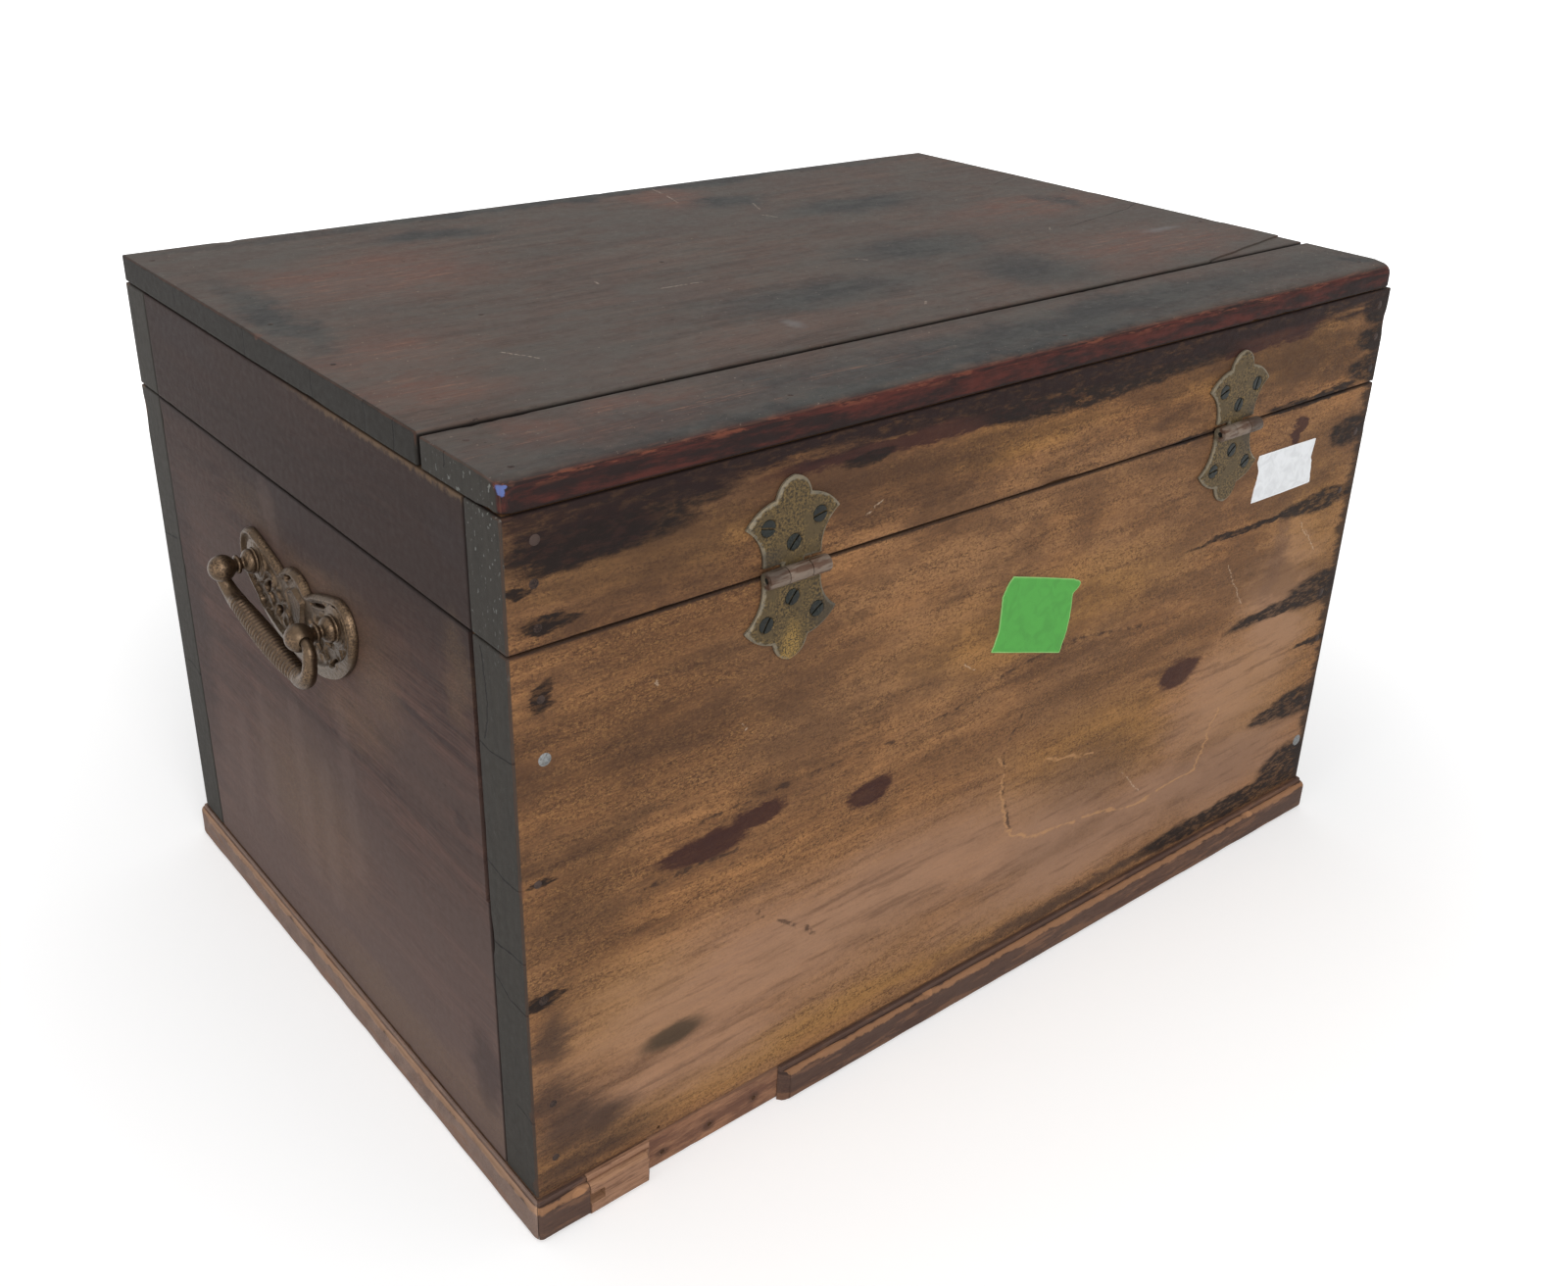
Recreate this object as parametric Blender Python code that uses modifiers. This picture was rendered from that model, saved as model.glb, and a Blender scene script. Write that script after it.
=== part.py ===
"""Wooden storage box: a nailed board case with a sawn-off lid, hinges, bail handles and a chest lock."""

import math

import bmesh
import bpy
from mathutils import Matrix, Vector

# Driving sizes, in metres
BOX_LENGTH = 0.520
BOX_DEPTH = 0.354
BODY_HEIGHT = 0.2645
LID_HEIGHT = 0.0640
LONG_WALL_THICKNESS = 0.024
END_WALL_THICKNESS = 0.020
TOP_THICKNESS = 0.013
BASE_HEIGHT = 0.019
SAW_KERF = 0.0005
SEAT_GAP = 0.0003
CUT_OVERRUN = 0.002
WELD_DISTANCE = 0.0000001

# How far the base moulding, the hinge barrels and the handles stand out from the case
LONG_MOULDING_REACH = 0.005
END_MOULDING_REACH = 0.003
KNUCKLE_RADIUS = 0.0035
BARREL_CLEARANCE = 0.0004
BARREL_OFFSET = KNUCKLE_RADIUS + BARREL_CLEARANCE
BARREL_REACH = BARREL_OFFSET + KNUCKLE_RADIUS

# The case is centred so that the whole object's box, barrels included, is centred on the origin
CASE_Y = (LONG_MOULDING_REACH - BARREL_REACH) / 2
FRONT_Y = CASE_Y - BOX_DEPTH / 2
BACK_Y = CASE_Y + BOX_DEPTH / 2
END_X = BOX_LENGTH / 2
BOX_HEIGHT = BODY_HEIGHT + LID_HEIGHT
WALL_FOOT = BASE_HEIGHT
LID_FOOT = BODY_HEIGHT + SAW_KERF
WALL_HEAD = BOX_HEIGHT - TOP_THICKNESS - SEAT_GAP
HINGE_AXIS_Y = BACK_Y + BARREL_OFFSET
HINGE_AXIS_Z = BODY_HEIGHT + SAW_KERF / 2
END_WALL_SPAN = BOX_DEPTH - 2 * LONG_WALL_THICKNESS - 2 * SEAT_GAP

for leftover in list(bpy.data.objects):
    bpy.data.objects.remove(leftover, do_unlink=True)
scene = bpy.context.scene
parts_collection = bpy.data.collections.new("storage_box")
cutters_collection = bpy.data.collections.new("cutters")
for collection in (parts_collection, cutters_collection):
    scene.collection.children.link(collection)


# Materials
def make_material(name, colour, roughness, metallic):
    material = bpy.data.materials.new(name)
    material.use_nodes = True
    surface = material.node_tree.nodes["Principled BSDF"]
    surface.inputs["Base Color"].default_value = (*colour, 1)
    surface.inputs["Roughness"].default_value = roughness
    surface.inputs["Metallic"].default_value = metallic
    return material


DARK_WOOD = make_material("dark_varnished_wood", (0.055, 0.035, 0.030), 0.55, 0)
BARE_WOOD = make_material("worn_golden_wood", (0.190, 0.090, 0.033), 0.6, 0)
MOULDING_WOOD = make_material("worn_moulding_wood", (0.150, 0.075, 0.040), 0.65, 0)
HINGE_BRASS = make_material("aged_brass", (0.170, 0.120, 0.060), 0.5, 0.8)
HANDLE_BRONZE = make_material("handle_bronze", (0.160, 0.090, 0.050), 0.42, 0.85)
DARK_STEEL = make_material("dark_steel", (0.050, 0.052, 0.055), 0.5, 0.8)


# Objects, placement, cutting and joining
def add_object(name, mesh, collection=parts_collection):
    new_object = bpy.data.objects.new(name, mesh)
    collection.objects.link(new_object)
    return new_object


def add_marker(name, location, turn=0):
    """An empty that stands on a joint's axis or on a fitting's seat."""
    marker = bpy.data.objects.new(name, None)
    parts_collection.objects.link(marker)
    marker.location = location
    marker.rotation_euler = (0, 0, turn)
    return marker


def place(piece, marker, world_location, rotation=(0, 0, 0)):
    """Hangs a piece on an upright marker, at a place given in world coordinates."""
    piece.parent = marker
    piece.location = Vector(world_location) - marker.location
    piece.rotation_euler = rotation


def as_tool(tool):
    tool.hide_render = True
    tool.display_type = "WIRE"
    return tool


def apply_boolean(piece, tool, operation):
    modifier = piece.modifiers.new(operation.lower(), "BOOLEAN")
    modifier.operation = operation
    modifier.solver = "EXACT"
    modifier.object = tool


def baked_mesh(piece, tools=()):
    """The evaluated mesh of a piece, welded, with the piece and its tools removed."""
    bpy.context.view_layer.update()
    graph = bpy.context.evaluated_depsgraph_get()
    mesh = bpy.data.meshes.new_from_object(piece.evaluated_get(graph))
    mesh.transform(piece.matrix_world)
    shape = bmesh.new()
    shape.from_mesh(mesh)
    bmesh.ops.remove_doubles(shape, verts=shape.verts, dist=WELD_DISTANCE)
    shape.to_mesh(mesh)
    shape.free()
    for used in (piece, *tools):
        bpy.data.objects.remove(used, do_unlink=True)
    return mesh


ROUND_ANGLE = math.radians(35)


def give(mesh, material):
    """Gives a mesh its material, and shades its round stretches smooth."""
    mesh.materials.clear()
    mesh.materials.append(material)
    mesh.shade_smooth()
    mesh.set_sharp_from_angle(angle=ROUND_ANGLE)
    return mesh


# Basic forms
def box_object(name, size, centre, collection=parts_collection):
    shape = bmesh.new()
    bmesh.ops.create_cube(shape, size=1, matrix=Matrix.Translation(centre) @ Matrix.Diagonal((*size, 1)))
    mesh = bpy.data.meshes.new(name)
    shape.to_mesh(mesh)
    shape.free()
    return add_object(name, mesh, collection)


AXIS_TURNS = {
    "x": Matrix.Rotation(math.radians(90), 4, "Y"),
    "y": Matrix.Rotation(math.radians(-90), 4, "X"),
    "z": Matrix.Identity(4),
}


def cone_object(name, start_radius, end_radius, start, length, axis, sides, collection=cutters_collection):
    """A cylinder or cone from its start point along the positive axis."""
    shape = bmesh.new()
    turn = AXIS_TURNS[axis]
    middle = Vector(start) + turn @ Vector((0, 0, length / 2))
    bmesh.ops.create_cone(
        shape,
        cap_ends=True,
        segments=sides,
        radius1=start_radius,
        radius2=end_radius,
        depth=length,
        matrix=Matrix.Translation(middle) @ turn,
    )
    mesh = bpy.data.meshes.new(name)
    shape.to_mesh(mesh)
    shape.free()
    return add_object(name, mesh, collection)


def rod_object(name, radius, start, length, axis, sides):
    return cone_object(name, radius, radius, start, length, axis, sides)


def outline_object(name, outlines, thickness, edge=0, collection=parts_collection):
    """A flat outline, with any holes as further outlines, extruded about its plane with chamfered edges."""
    curve = bpy.data.curves.new(name, "CURVE")
    curve.dimensions = "2D"
    curve.fill_mode = "BOTH"
    curve.extrude = thickness / 2 - edge
    curve.bevel_depth = edge
    curve.bevel_resolution = 0
    curve.offset = -edge
    for outline in outlines:
        spline = curve.splines.new("POLY")
        spline.use_cyclic_u = True
        spline.points.add(len(outline) - 1)
        for point, (across, up) in zip(spline.points, outline):
            point.co = (across, up, 0, 1)
    return add_object(name, curve, collection)


def board_object(name, section, length, edge):
    """A board that runs along X: its section, in Y and Z, extruded and made a mesh."""
    board = outline_object(name, [section], length, edge)
    board.rotation_euler = SECTION_TURN
    return add_object(name, baked_mesh(board))


SECTION_TURN = (math.radians(90), 0, math.radians(90))


def lathe_object(name, profile, steps, collection=parts_collection):
    """A turned shape about Z. The profile is (radius, height) pairs, from the top down its outer side."""
    shape = bmesh.new()
    corners = [shape.verts.new((radius, 0, height)) for radius, height in profile]
    for upper, lower in zip(corners, corners[1:]):
        shape.edges.new((upper, lower))
    mesh = bpy.data.meshes.new(name)
    shape.to_mesh(mesh)
    shape.free()
    turned = add_object(name, mesh, collection)
    screw = turned.modifiers.new("turn", "SCREW")
    screw.axis = "Z"
    screw.steps = steps
    screw.render_steps = steps
    screw.use_merge_vertices = True
    screw.merge_threshold = WELD_DISTANCE
    return turned


def arc_points(start, end, sagitta, steps):
    """Points after start up to end on a circular arc that bulges to the right of its direction."""
    start, end = Vector(start), Vector(end)
    chord = end - start
    half = chord.length / 2
    side = Vector((chord.y, -chord.x)).normalized()
    radius = (half * half + sagitta * sagitta) / (2 * abs(sagitta))
    sweep = math.asin(min(1, half / radius))
    bulge = math.copysign(1, sagitta) * side
    centre = (start + end) / 2 + bulge * (abs(sagitta) - radius)
    points = []
    for step in range(1, steps):
        angle = sweep * (2 * step / steps - 1)
        along = chord.normalized() * radius * math.sin(angle)
        points.append(tuple(centre + along + bulge * radius * math.cos(angle)))
    return points + [tuple(end)]


def mirrored(half_outline):
    """A closed outline from its right half, which runs from the bottom middle to the top middle."""
    left = [(-across, up) for across, up in reversed(half_outline) if across]
    return list(half_outline) + left


def corner_points(centre, radius, from_degrees, steps=3):
    """A rounded corner of a section: a quarter circle that starts at the angle given."""
    points = []
    for step in range(steps + 1):
        angle = math.radians(from_degrees + 90 * step / steps)
        points.append((centre[0] + radius * math.cos(angle), centre[1] + radius * math.sin(angle)))
    return points


# Markers: the case, the lid on its hinge axis, and one seat for each handle
HANDLE_DROP = 0.0435
HANDLE_HEIGHT = BODY_HEIGHT - HANDLE_DROP
case_marker = add_marker("case_origin", (0, 0, 0))
lid_marker = add_marker("lid_hinge_axis", (0, HINGE_AXIS_Y, HINGE_AXIS_Z))
handle_markers = {
    "right": add_marker("handle_seat_right", (END_X, CASE_Y, HANDLE_HEIGHT)),
    "left": add_marker("handle_seat_left", (-END_X, CASE_Y, HANDLE_HEIGHT), math.pi),
}

# Case boards: a bottom board under four walls, the long walls lapping over the ends
BOARD_EDGE = 0.0006
BOTTOM_ARRIS = 0.002
SLIT_WIDTH = 0.0022
SLIT_LENGTH = 0.1145


def bottom_board():
    side = BOX_DEPTH / 2
    head = WALL_FOOT - SEAT_GAP
    section = (
        corner_points((-side + BOTTOM_ARRIS, BOTTOM_ARRIS), BOTTOM_ARRIS, 180)
        + corner_points((side - BOTTOM_ARRIS, BOTTOM_ARRIS), BOTTOM_ARRIS, 270)
        + [(side, head), (-side, head)]
    )
    board = board_object("bottom_board", section, BOX_LENGTH, BOARD_EDGE)
    place(board, case_marker, (0, CASE_Y, 0))
    give(board.data, DARK_WOOD)


def long_wall(name, y_sign, foot, head, marker, material):
    """A wall that runs the full length, with its inner and outer faces lying along X."""
    outer = CASE_Y + y_sign * BOX_DEPTH / 2
    inner = outer - y_sign * LONG_WALL_THICKNESS
    low, high = sorted((outer, inner))
    section = [(low, foot), (high, foot), (high, head), (low, head)]
    board = board_object(name, section, BOX_LENGTH, BOARD_EDGE)
    place(board, marker, (0, 0, 0))
    give(board.data, material)
    return board


def end_wall(name, x_sign, foot, head, marker, slit=0):
    """A wall set between the long walls. Shrinkage can open a slit beside the back wall."""
    side = END_WALL_SPAN / 2
    section = [(-side, foot), (side, foot), (side, head), (-side, head)]
    if slit:
        section[2:3] = [(side, head - SLIT_LENGTH), (side - slit, head)]
    board = board_object(name, section, END_WALL_THICKNESS, BOARD_EDGE)
    place(board, marker, (x_sign * (END_X - END_WALL_THICKNESS / 2), CASE_Y, 0))
    give(board.data, DARK_WOOD)
    return board


bottom_board()
front_wall = long_wall("front_wall", -1, WALL_FOOT, BODY_HEIGHT, case_marker, DARK_WOOD)
back_wall = long_wall("back_wall", 1, WALL_FOOT, BODY_HEIGHT, case_marker, BARE_WOOD)
end_walls = {
    "right": end_wall("end_wall_right", 1, WALL_FOOT, BODY_HEIGHT, case_marker, SLIT_WIDTH),
    "left": end_wall("end_wall_left", -1, WALL_FOOT, BODY_HEIGHT, case_marker),
}

# Lid boards: the upper strip of each wall, a wide and a narrow top board, and a sliver off the wide one
NARROW_BOARD_DEPTH = 0.0535
TOP_BOARD_GAP = 0.0025
NARROW_BOARD_DROP = 0.0007
BACK_ARRIS = 0.006
FRONT_ARRIS = 0.002
GAP_ARRIS = 0.001
SLIVER_LENGTH = 0.080
SLIVER_DEPTH = 0.0145
SLIVER_CRACK = 0.0006
SLIVER_DROP = 0.0008


def top_section(front, back, head, front_arris, back_arris):
    foot = BOX_HEIGHT - TOP_THICKNESS
    return (
        [(front, foot), (back, foot)]
        + corner_points((back - back_arris, head - back_arris), back_arris, 0)
        + corner_points((front + front_arris, head - front_arris), front_arris, 90)
    )


def sliver_outline(crack=0, overrun=0):
    """The wedge split off the wide board, from above. Its cutter is wider by the crack."""
    slope = SLIVER_DEPTH / SLIVER_LENGTH
    board_edge = BACK_Y - NARROW_BOARD_DEPTH - TOP_BOARD_GAP
    left = -END_X - overrun
    back = board_edge + overrun
    front = board_edge - SLIVER_DEPTH - crack - slope * overrun
    return [(left, front), (left + (back - front) / slope, back), (left, back)]


def lid_top():
    seam = BACK_Y - NARROW_BOARD_DEPTH
    wide_section = top_section(FRONT_Y, seam - TOP_BOARD_GAP, BOX_HEIGHT, FRONT_ARRIS, GAP_ARRIS)
    wide = board_object("lid_top_wide_board", wide_section, BOX_LENGTH, BOARD_EDGE)
    narrow_section = top_section(seam, BACK_Y, BOX_HEIGHT - NARROW_BOARD_DROP, GAP_ARRIS, BACK_ARRIS)
    narrow = board_object("lid_top_narrow_board", narrow_section, BOX_LENGTH, BOARD_EDGE)

    cutter_height = TOP_THICKNESS + 2 * CUT_OVERRUN
    cutter = outline_object("sliver_cutter", [sliver_outline(SLIVER_CRACK, CUT_OVERRUN)], cutter_height)
    cutter.location = (0, 0, BOX_HEIGHT - TOP_THICKNESS / 2)
    cutter = as_tool(add_object("sliver_cutter", baked_mesh(cutter), cutters_collection))
    apply_boolean(wide, cutter, "DIFFERENCE")

    sliver_height = TOP_THICKNESS - SLIVER_DROP
    sliver = outline_object("lid_top_sliver", [sliver_outline()], sliver_height)
    sliver.location = (0, 0, BOX_HEIGHT - TOP_THICKNESS + sliver_height / 2)
    sliver = add_object("lid_top_sliver", baked_mesh(sliver))

    for board in (wide, narrow, sliver):
        place(board, lid_marker, (0, 0, 0))
        give(board.data, DARK_WOOD)


lid_top()
lid_front = long_wall("lid_front", -1, LID_FOOT, WALL_HEAD, lid_marker, DARK_WOOD)
lid_back = long_wall("lid_back", 1, LID_FOOT, WALL_HEAD, lid_marker, BARE_WOOD)
end_wall("lid_end_right", 1, LID_FOOT, WALL_HEAD, lid_marker)
end_wall("lid_end_left", -1, LID_FOOT, WALL_HEAD, lid_marker)

# Base moulding: strips nailed round the edge of the bottom board, mitred and worn round at the corners.
# Part of the back strip is missing: a long piece, a short corner piece and a splintered piece are left.
NOSE_RADIUS = 0.0028
QUIRK_HEIGHT = 0.0020
MOULDING_NOSE_SHARES = (0.45, 0.84, 1.0)
MOULDING_SHOULDER_SHARES = (0.96, 0.72)
QUIRK_SHARE = 0.42
MITRE_SLACK_DEGREES = 2
CORNER_STEPS = 3
LONG_PIECE_BREAK_INSET = 0.125
BREAK_LEAN = 1.6
SPLINTER_LENGTH = 0.0305
CORNER_PIECE_LENGTH = 0.0220
SPLINTER_PROUD = 0.0008
SPLINTER_NOTCH_WIDTH = 0.0066
SPLINTER_NOTCH_HEIGHT = 0.0055
SPLINTER_NOTCH_FOOT = 0.0068
PIECE_GAP = 0.0003
LONG_PIECE_BREAK_X = END_X - LONG_PIECE_BREAK_INSET
CORNER_PIECE_END_X = END_X - CORNER_PIECE_LENGTH
SPLINTER_END_X = CORNER_PIECE_END_X - SPLINTER_LENGTH


def moulding_profile():
    """(share of the reach, height) pairs, from the foot round the nose to the quirk at the head."""
    low, middle, high = MOULDING_NOSE_SHARES
    shoulder = BASE_HEIGHT - QUIRK_HEIGHT
    return [
        (low, 0),
        (middle, NOSE_RADIUS * (1 - middle)),
        (high, NOSE_RADIUS),
        (high, shoulder - NOSE_RADIUS),
        (MOULDING_SHOULDER_SHARES[0], shoulder - NOSE_RADIUS / 2),
        (MOULDING_SHOULDER_SHARES[1], shoulder),
        (QUIRK_SHARE, shoulder),
        (QUIRK_SHARE, BASE_HEIGHT),
    ]


def corner_stations(x_sign, y_sign, from_degrees, to_degrees):
    """(base point, outward reach) pairs that turn a strip's end round a corner of the case."""
    stations = []
    for step in range(CORNER_STEPS + 1):
        angle = math.radians(from_degrees + (to_degrees - from_degrees) * step / CORNER_STEPS)
        reach = Vector((END_MOULDING_REACH * math.cos(angle), LONG_MOULDING_REACH * math.sin(angle)))
        stations.append((Vector((x_sign * END_X, CASE_Y + y_sign * BOX_DEPTH / 2)), reach, 0))
    return stations


def moulding_strip(name, stations, proud=0):
    """A strip lofted from station to station. Each station is a base point, a reach and a lean along X."""
    profile = moulding_profile()
    shape = bmesh.new()
    rings = []
    for base, reach, lean in stations:
        out = reach.normalized()
        full = reach.length + proud
        places = [(SEAT_GAP, 0)] + [(share * full, height) for share, height in profile]
        places.append((SEAT_GAP, BASE_HEIGHT))
        ring = []
        for away, height in places:
            spot = base + out * away + Vector((lean * (full - away), 0))
            ring.append(shape.verts.new((spot.x, spot.y, height)))
        rings.append(ring)
    for ring, following in zip(rings, rings[1:]):
        for index, corner in enumerate(ring):
            after = (index + 1) % len(ring)
            shape.faces.new((corner, ring[after], following[after], following[index]))
    shape.faces.new(reversed(rings[0]))
    shape.faces.new(rings[-1])
    bmesh.ops.recalc_face_normals(shape, faces=shape.faces)
    mesh = bpy.data.meshes.new(name)
    shape.to_mesh(mesh)
    shape.free()
    strip = add_object(name, give(mesh, MOULDING_WOOD))
    place(strip, case_marker, (0, 0, 0))
    return strip


def base_moulding():
    half_mitre = 45 - MITRE_SLACK_DEGREES
    back_reach = Vector((0, LONG_MOULDING_REACH))
    moulding_strip(
        "base_moulding_front",
        corner_stations(-1, -1, 270 - half_mitre, 270) + corner_stations(1, -1, 270, 270 + half_mitre),
    )
    moulding_strip(
        "base_moulding_right",
        corner_stations(1, -1, -half_mitre, 0) + corner_stations(1, 1, 0, half_mitre),
    )
    moulding_strip(
        "base_moulding_left",
        corner_stations(-1, 1, 180 - half_mitre, 180) + corner_stations(-1, -1, 180, 180 + half_mitre),
    )
    moulding_strip(
        "base_moulding_back_long",
        [(Vector((LONG_PIECE_BREAK_X, BACK_Y)), back_reach, BREAK_LEAN)]
        + corner_stations(-1, 1, 90, 90 + half_mitre),
    )
    moulding_strip(
        "base_moulding_back_corner",
        corner_stations(1, 1, 90 - half_mitre, 90)
        + [(Vector((CORNER_PIECE_END_X + PIECE_GAP, BACK_Y)), back_reach, 0)],
    )
    splinter = moulding_strip(
        "base_moulding_back_splinter",
        [
            (Vector((CORNER_PIECE_END_X, BACK_Y)), back_reach, 0),
            (Vector((SPLINTER_END_X, BACK_Y)), back_reach, 0),
        ],
        SPLINTER_PROUD,
    )
    notch_size = (
        SPLINTER_NOTCH_WIDTH + CUT_OVERRUN,
        LONG_MOULDING_REACH + 2 * CUT_OVERRUN,
        SPLINTER_NOTCH_HEIGHT,
    )
    notch_centre = (
        CORNER_PIECE_END_X + (CUT_OVERRUN - SPLINTER_NOTCH_WIDTH) / 2,
        BACK_Y + LONG_MOULDING_REACH / 2,
        SPLINTER_NOTCH_FOOT + SPLINTER_NOTCH_HEIGHT / 2,
    )
    notch = as_tool(box_object("splinter_notch_cutter", notch_size, notch_centre, cutters_collection))
    apply_boolean(splinter, notch, "DIFFERENCE")


base_moulding()

# Hinges: two cast butterfly hinges on the back face, each with three knuckles, a pin and six screws
HINGE_INSET = 0.1225
HINGE_X = END_X - HINGE_INSET
LEAF_THICKNESS = 0.0016
LEAF_EDGE = 0.0005
LEAF_TIP_RISE = 0.0385
LEAF_NOTCH_RISE = 0.0300
LEAF_NOTCH_HALF = 0.0085
LEAF_WING_RISE = 0.0212
LEAF_WING_HALF = 0.0227
LEAF_WAIST_RISE = 0.0060
LEAF_WAIST_HALF = 0.0142
LEAF_COVE_SAGITTA = 0.0022
LEAF_WING_SAGITTA = 0.0017
LEAF_TIP_SAGITTA = 0.0021
BARREL_LENGTH = 0.0300
MIDDLE_KNUCKLE_LENGTH = 0.0110
KNUCKLE_GAP = 0.0003
PIN_RADIUS = 0.0013
PIN_CLEARANCE = 0.00008
PIN_RECESS = 0.0006
KNUCKLE_SIDES = 20
HINGE_PIN_SIDES = 16

SCREW_HEAD_RADIUS = 0.0034
SCREW_HEAD_DEPTH = 0.0019
SCREW_SHANK_RADIUS = 0.0015
SCREW_LENGTH = 0.0125
SCREW_POINT_LENGTH = 0.0025
SCREW_SLOT_WIDTH = 0.0009
SCREW_SLOT_DEPTH = 0.0009
SCREW_SINK_CLEARANCE = 0.00025
SCREW_PILOT_RADIUS = 0.0021
SCREW_SIDES = 12
SIDE_SCREW_ACROSS = 0.0125
SIDE_SCREW_RISE = 0.0200
CENTRE_SCREW_RISE = 0.0115
SCREW_PLACES = (
    (-SIDE_SCREW_ACROSS, SIDE_SCREW_RISE),
    (SIDE_SCREW_ACROSS, SIDE_SCREW_RISE),
    (0, CENTRE_SCREW_RISE),
)
SCREW_TURNS = (12, -14, 48, 35, 60, 52, 75, 20, 65, 30, 8, 40)


def leaf_outline(foot):
    """Half of a leaf, from its foot at the barrel to its pointed tip."""
    waist = (LEAF_WAIST_HALF, LEAF_WAIST_RISE)
    wing = (LEAF_WING_HALF, LEAF_WING_RISE)
    notch = (LEAF_NOTCH_HALF, LEAF_NOTCH_RISE)
    tip = (0, LEAF_TIP_RISE)
    return (
        [(LEAF_WAIST_HALF, foot), waist]
        + arc_points(waist, wing, -LEAF_COVE_SAGITTA, 6)
        + arc_points(wing, notch, LEAF_WING_SAGITTA, 6)
        + arc_points(notch, tip, LEAF_TIP_SAGITTA, 5)
    )


def knuckle(name, middle, length):
    """A tube about the hinge axis, which in a leaf's own frame lies along X above the leaf's back."""
    start = (middle - length / 2, 0, BARREL_OFFSET)
    tube = rod_object(name, KNUCKLE_RADIUS, start, length, "x", KNUCKLE_SIDES)
    return add_object(name, baked_mesh(tube), cutters_collection)


def leaf_mesh(name, knuckle_places, tab_in_middle):
    """A leaf in its own frame: X along the barrel, Y away from it, Z out from the wood's face.
    It reaches the axis only where it owns a knuckle: with a tab in its middle, or either side of a notch."""
    cut_back = KNUCKLE_RADIUS + KNUCKLE_GAP
    outline = mirrored(leaf_outline(cut_back if tab_in_middle else 0))
    leaf = outline_object(name, [outline], LEAF_THICKNESS, LEAF_EDGE)
    leaf.location = (0, 0, SEAT_GAP + LEAF_THICKNESS / 2)
    leaf = add_object(name, baked_mesh(leaf))
    tab_depth = cut_back + LEAF_EDGE
    tab_size = (MIDDLE_KNUCKLE_LENGTH - LEAF_EDGE, tab_depth, LEAF_THICKNESS - LEAF_EDGE)
    tab_centre = (0, tab_depth / 2, SEAT_GAP + LEAF_THICKNESS / 2)
    if not tab_in_middle:
        tab_size = (MIDDLE_KNUCKLE_LENGTH + 2 * KNUCKLE_GAP, 2 * cut_back, LEAF_THICKNESS + 2 * CUT_OVERRUN)
        tab_centre = (0, 0, SEAT_GAP + LEAF_THICKNESS / 2)
    tools = [box_object(f"{name}_tab", tab_size, tab_centre, cutters_collection)]
    apply_boolean(leaf, tools[0], "UNION" if tab_in_middle else "DIFFERENCE")
    for index, (middle, length) in enumerate(knuckle_places):
        tools.append(knuckle(f"{name}_knuckle_{index}", middle, length))
        apply_boolean(leaf, tools[-1], "UNION")
    bore_radius = PIN_RADIUS + PIN_CLEARANCE
    bore_start = (-BARREL_LENGTH / 2 - CUT_OVERRUN, 0, BARREL_OFFSET)
    bore_length = BARREL_LENGTH + 2 * CUT_OVERRUN
    tools.append(rod_object(f"{name}_bore", bore_radius, bore_start, bore_length, "x", HINGE_PIN_SIDES))
    apply_boolean(leaf, tools[-1], "DIFFERENCE")
    face = SEAT_GAP + LEAF_THICKNESS
    slope = (SCREW_HEAD_RADIUS - SCREW_SHANK_RADIUS) / SCREW_HEAD_DEPTH
    sink_foot = SCREW_SHANK_RADIUS + SCREW_SINK_CLEARANCE
    sink_head = SCREW_HEAD_RADIUS + SCREW_SINK_CLEARANCE + slope * CUT_OVERRUN
    sink_length = SCREW_HEAD_DEPTH + CUT_OVERRUN
    for index, (across, rise) in enumerate(SCREW_PLACES):
        start = (across, rise, face - SCREW_HEAD_DEPTH)
        sink_name = f"{name}_sink_{index}"
        tools.append(cone_object(sink_name, sink_foot, sink_head, start, sink_length, "z", SCREW_SIDES))
        apply_boolean(leaf, tools[-1], "DIFFERENCE")
    return give(baked_mesh(leaf, tools), HINGE_BRASS)


def screw_mesh():
    """A slotted countersunk wood screw about Z, with its head's top face at zero."""
    profile = [
        (0, 0),
        (SCREW_HEAD_RADIUS, 0),
        (SCREW_SHANK_RADIUS, -SCREW_HEAD_DEPTH),
        (SCREW_SHANK_RADIUS, SCREW_POINT_LENGTH - SCREW_LENGTH),
        (0, -SCREW_LENGTH),
    ]
    screw = lathe_object("hinge_screw_shape", profile, SCREW_SIDES)
    slot_size = (2 * SCREW_HEAD_RADIUS + CUT_OVERRUN, SCREW_SLOT_WIDTH, 2 * SCREW_SLOT_DEPTH)
    slot = box_object("screw_slot", slot_size, (0, 0, 0), cutters_collection)
    apply_boolean(screw, slot, "DIFFERENCE")
    return give(baked_mesh(screw, [slot]), DARK_STEEL)


def hinge_pin_mesh():
    length = BARREL_LENGTH - 2 * PIN_RECESS
    start = (-length / 2, 0, 0)
    pin = rod_object("hinge_pin_shape", PIN_RADIUS, start, length, "x", HINGE_PIN_SIDES)
    return give(baked_mesh(pin), DARK_STEEL)


def pilot_hole(name, wall, x, z):
    """A hole into the outer face of a back board."""
    start = (x, BACK_Y - SCREW_LENGTH - CUT_OVERRUN, z)
    length = SCREW_LENGTH + 2 * CUT_OVERRUN
    hole = as_tool(rod_object(name, SCREW_PILOT_RADIUS, start, length, "y", SCREW_SIDES))
    apply_boolean(wall, hole, "DIFFERENCE")


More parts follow.
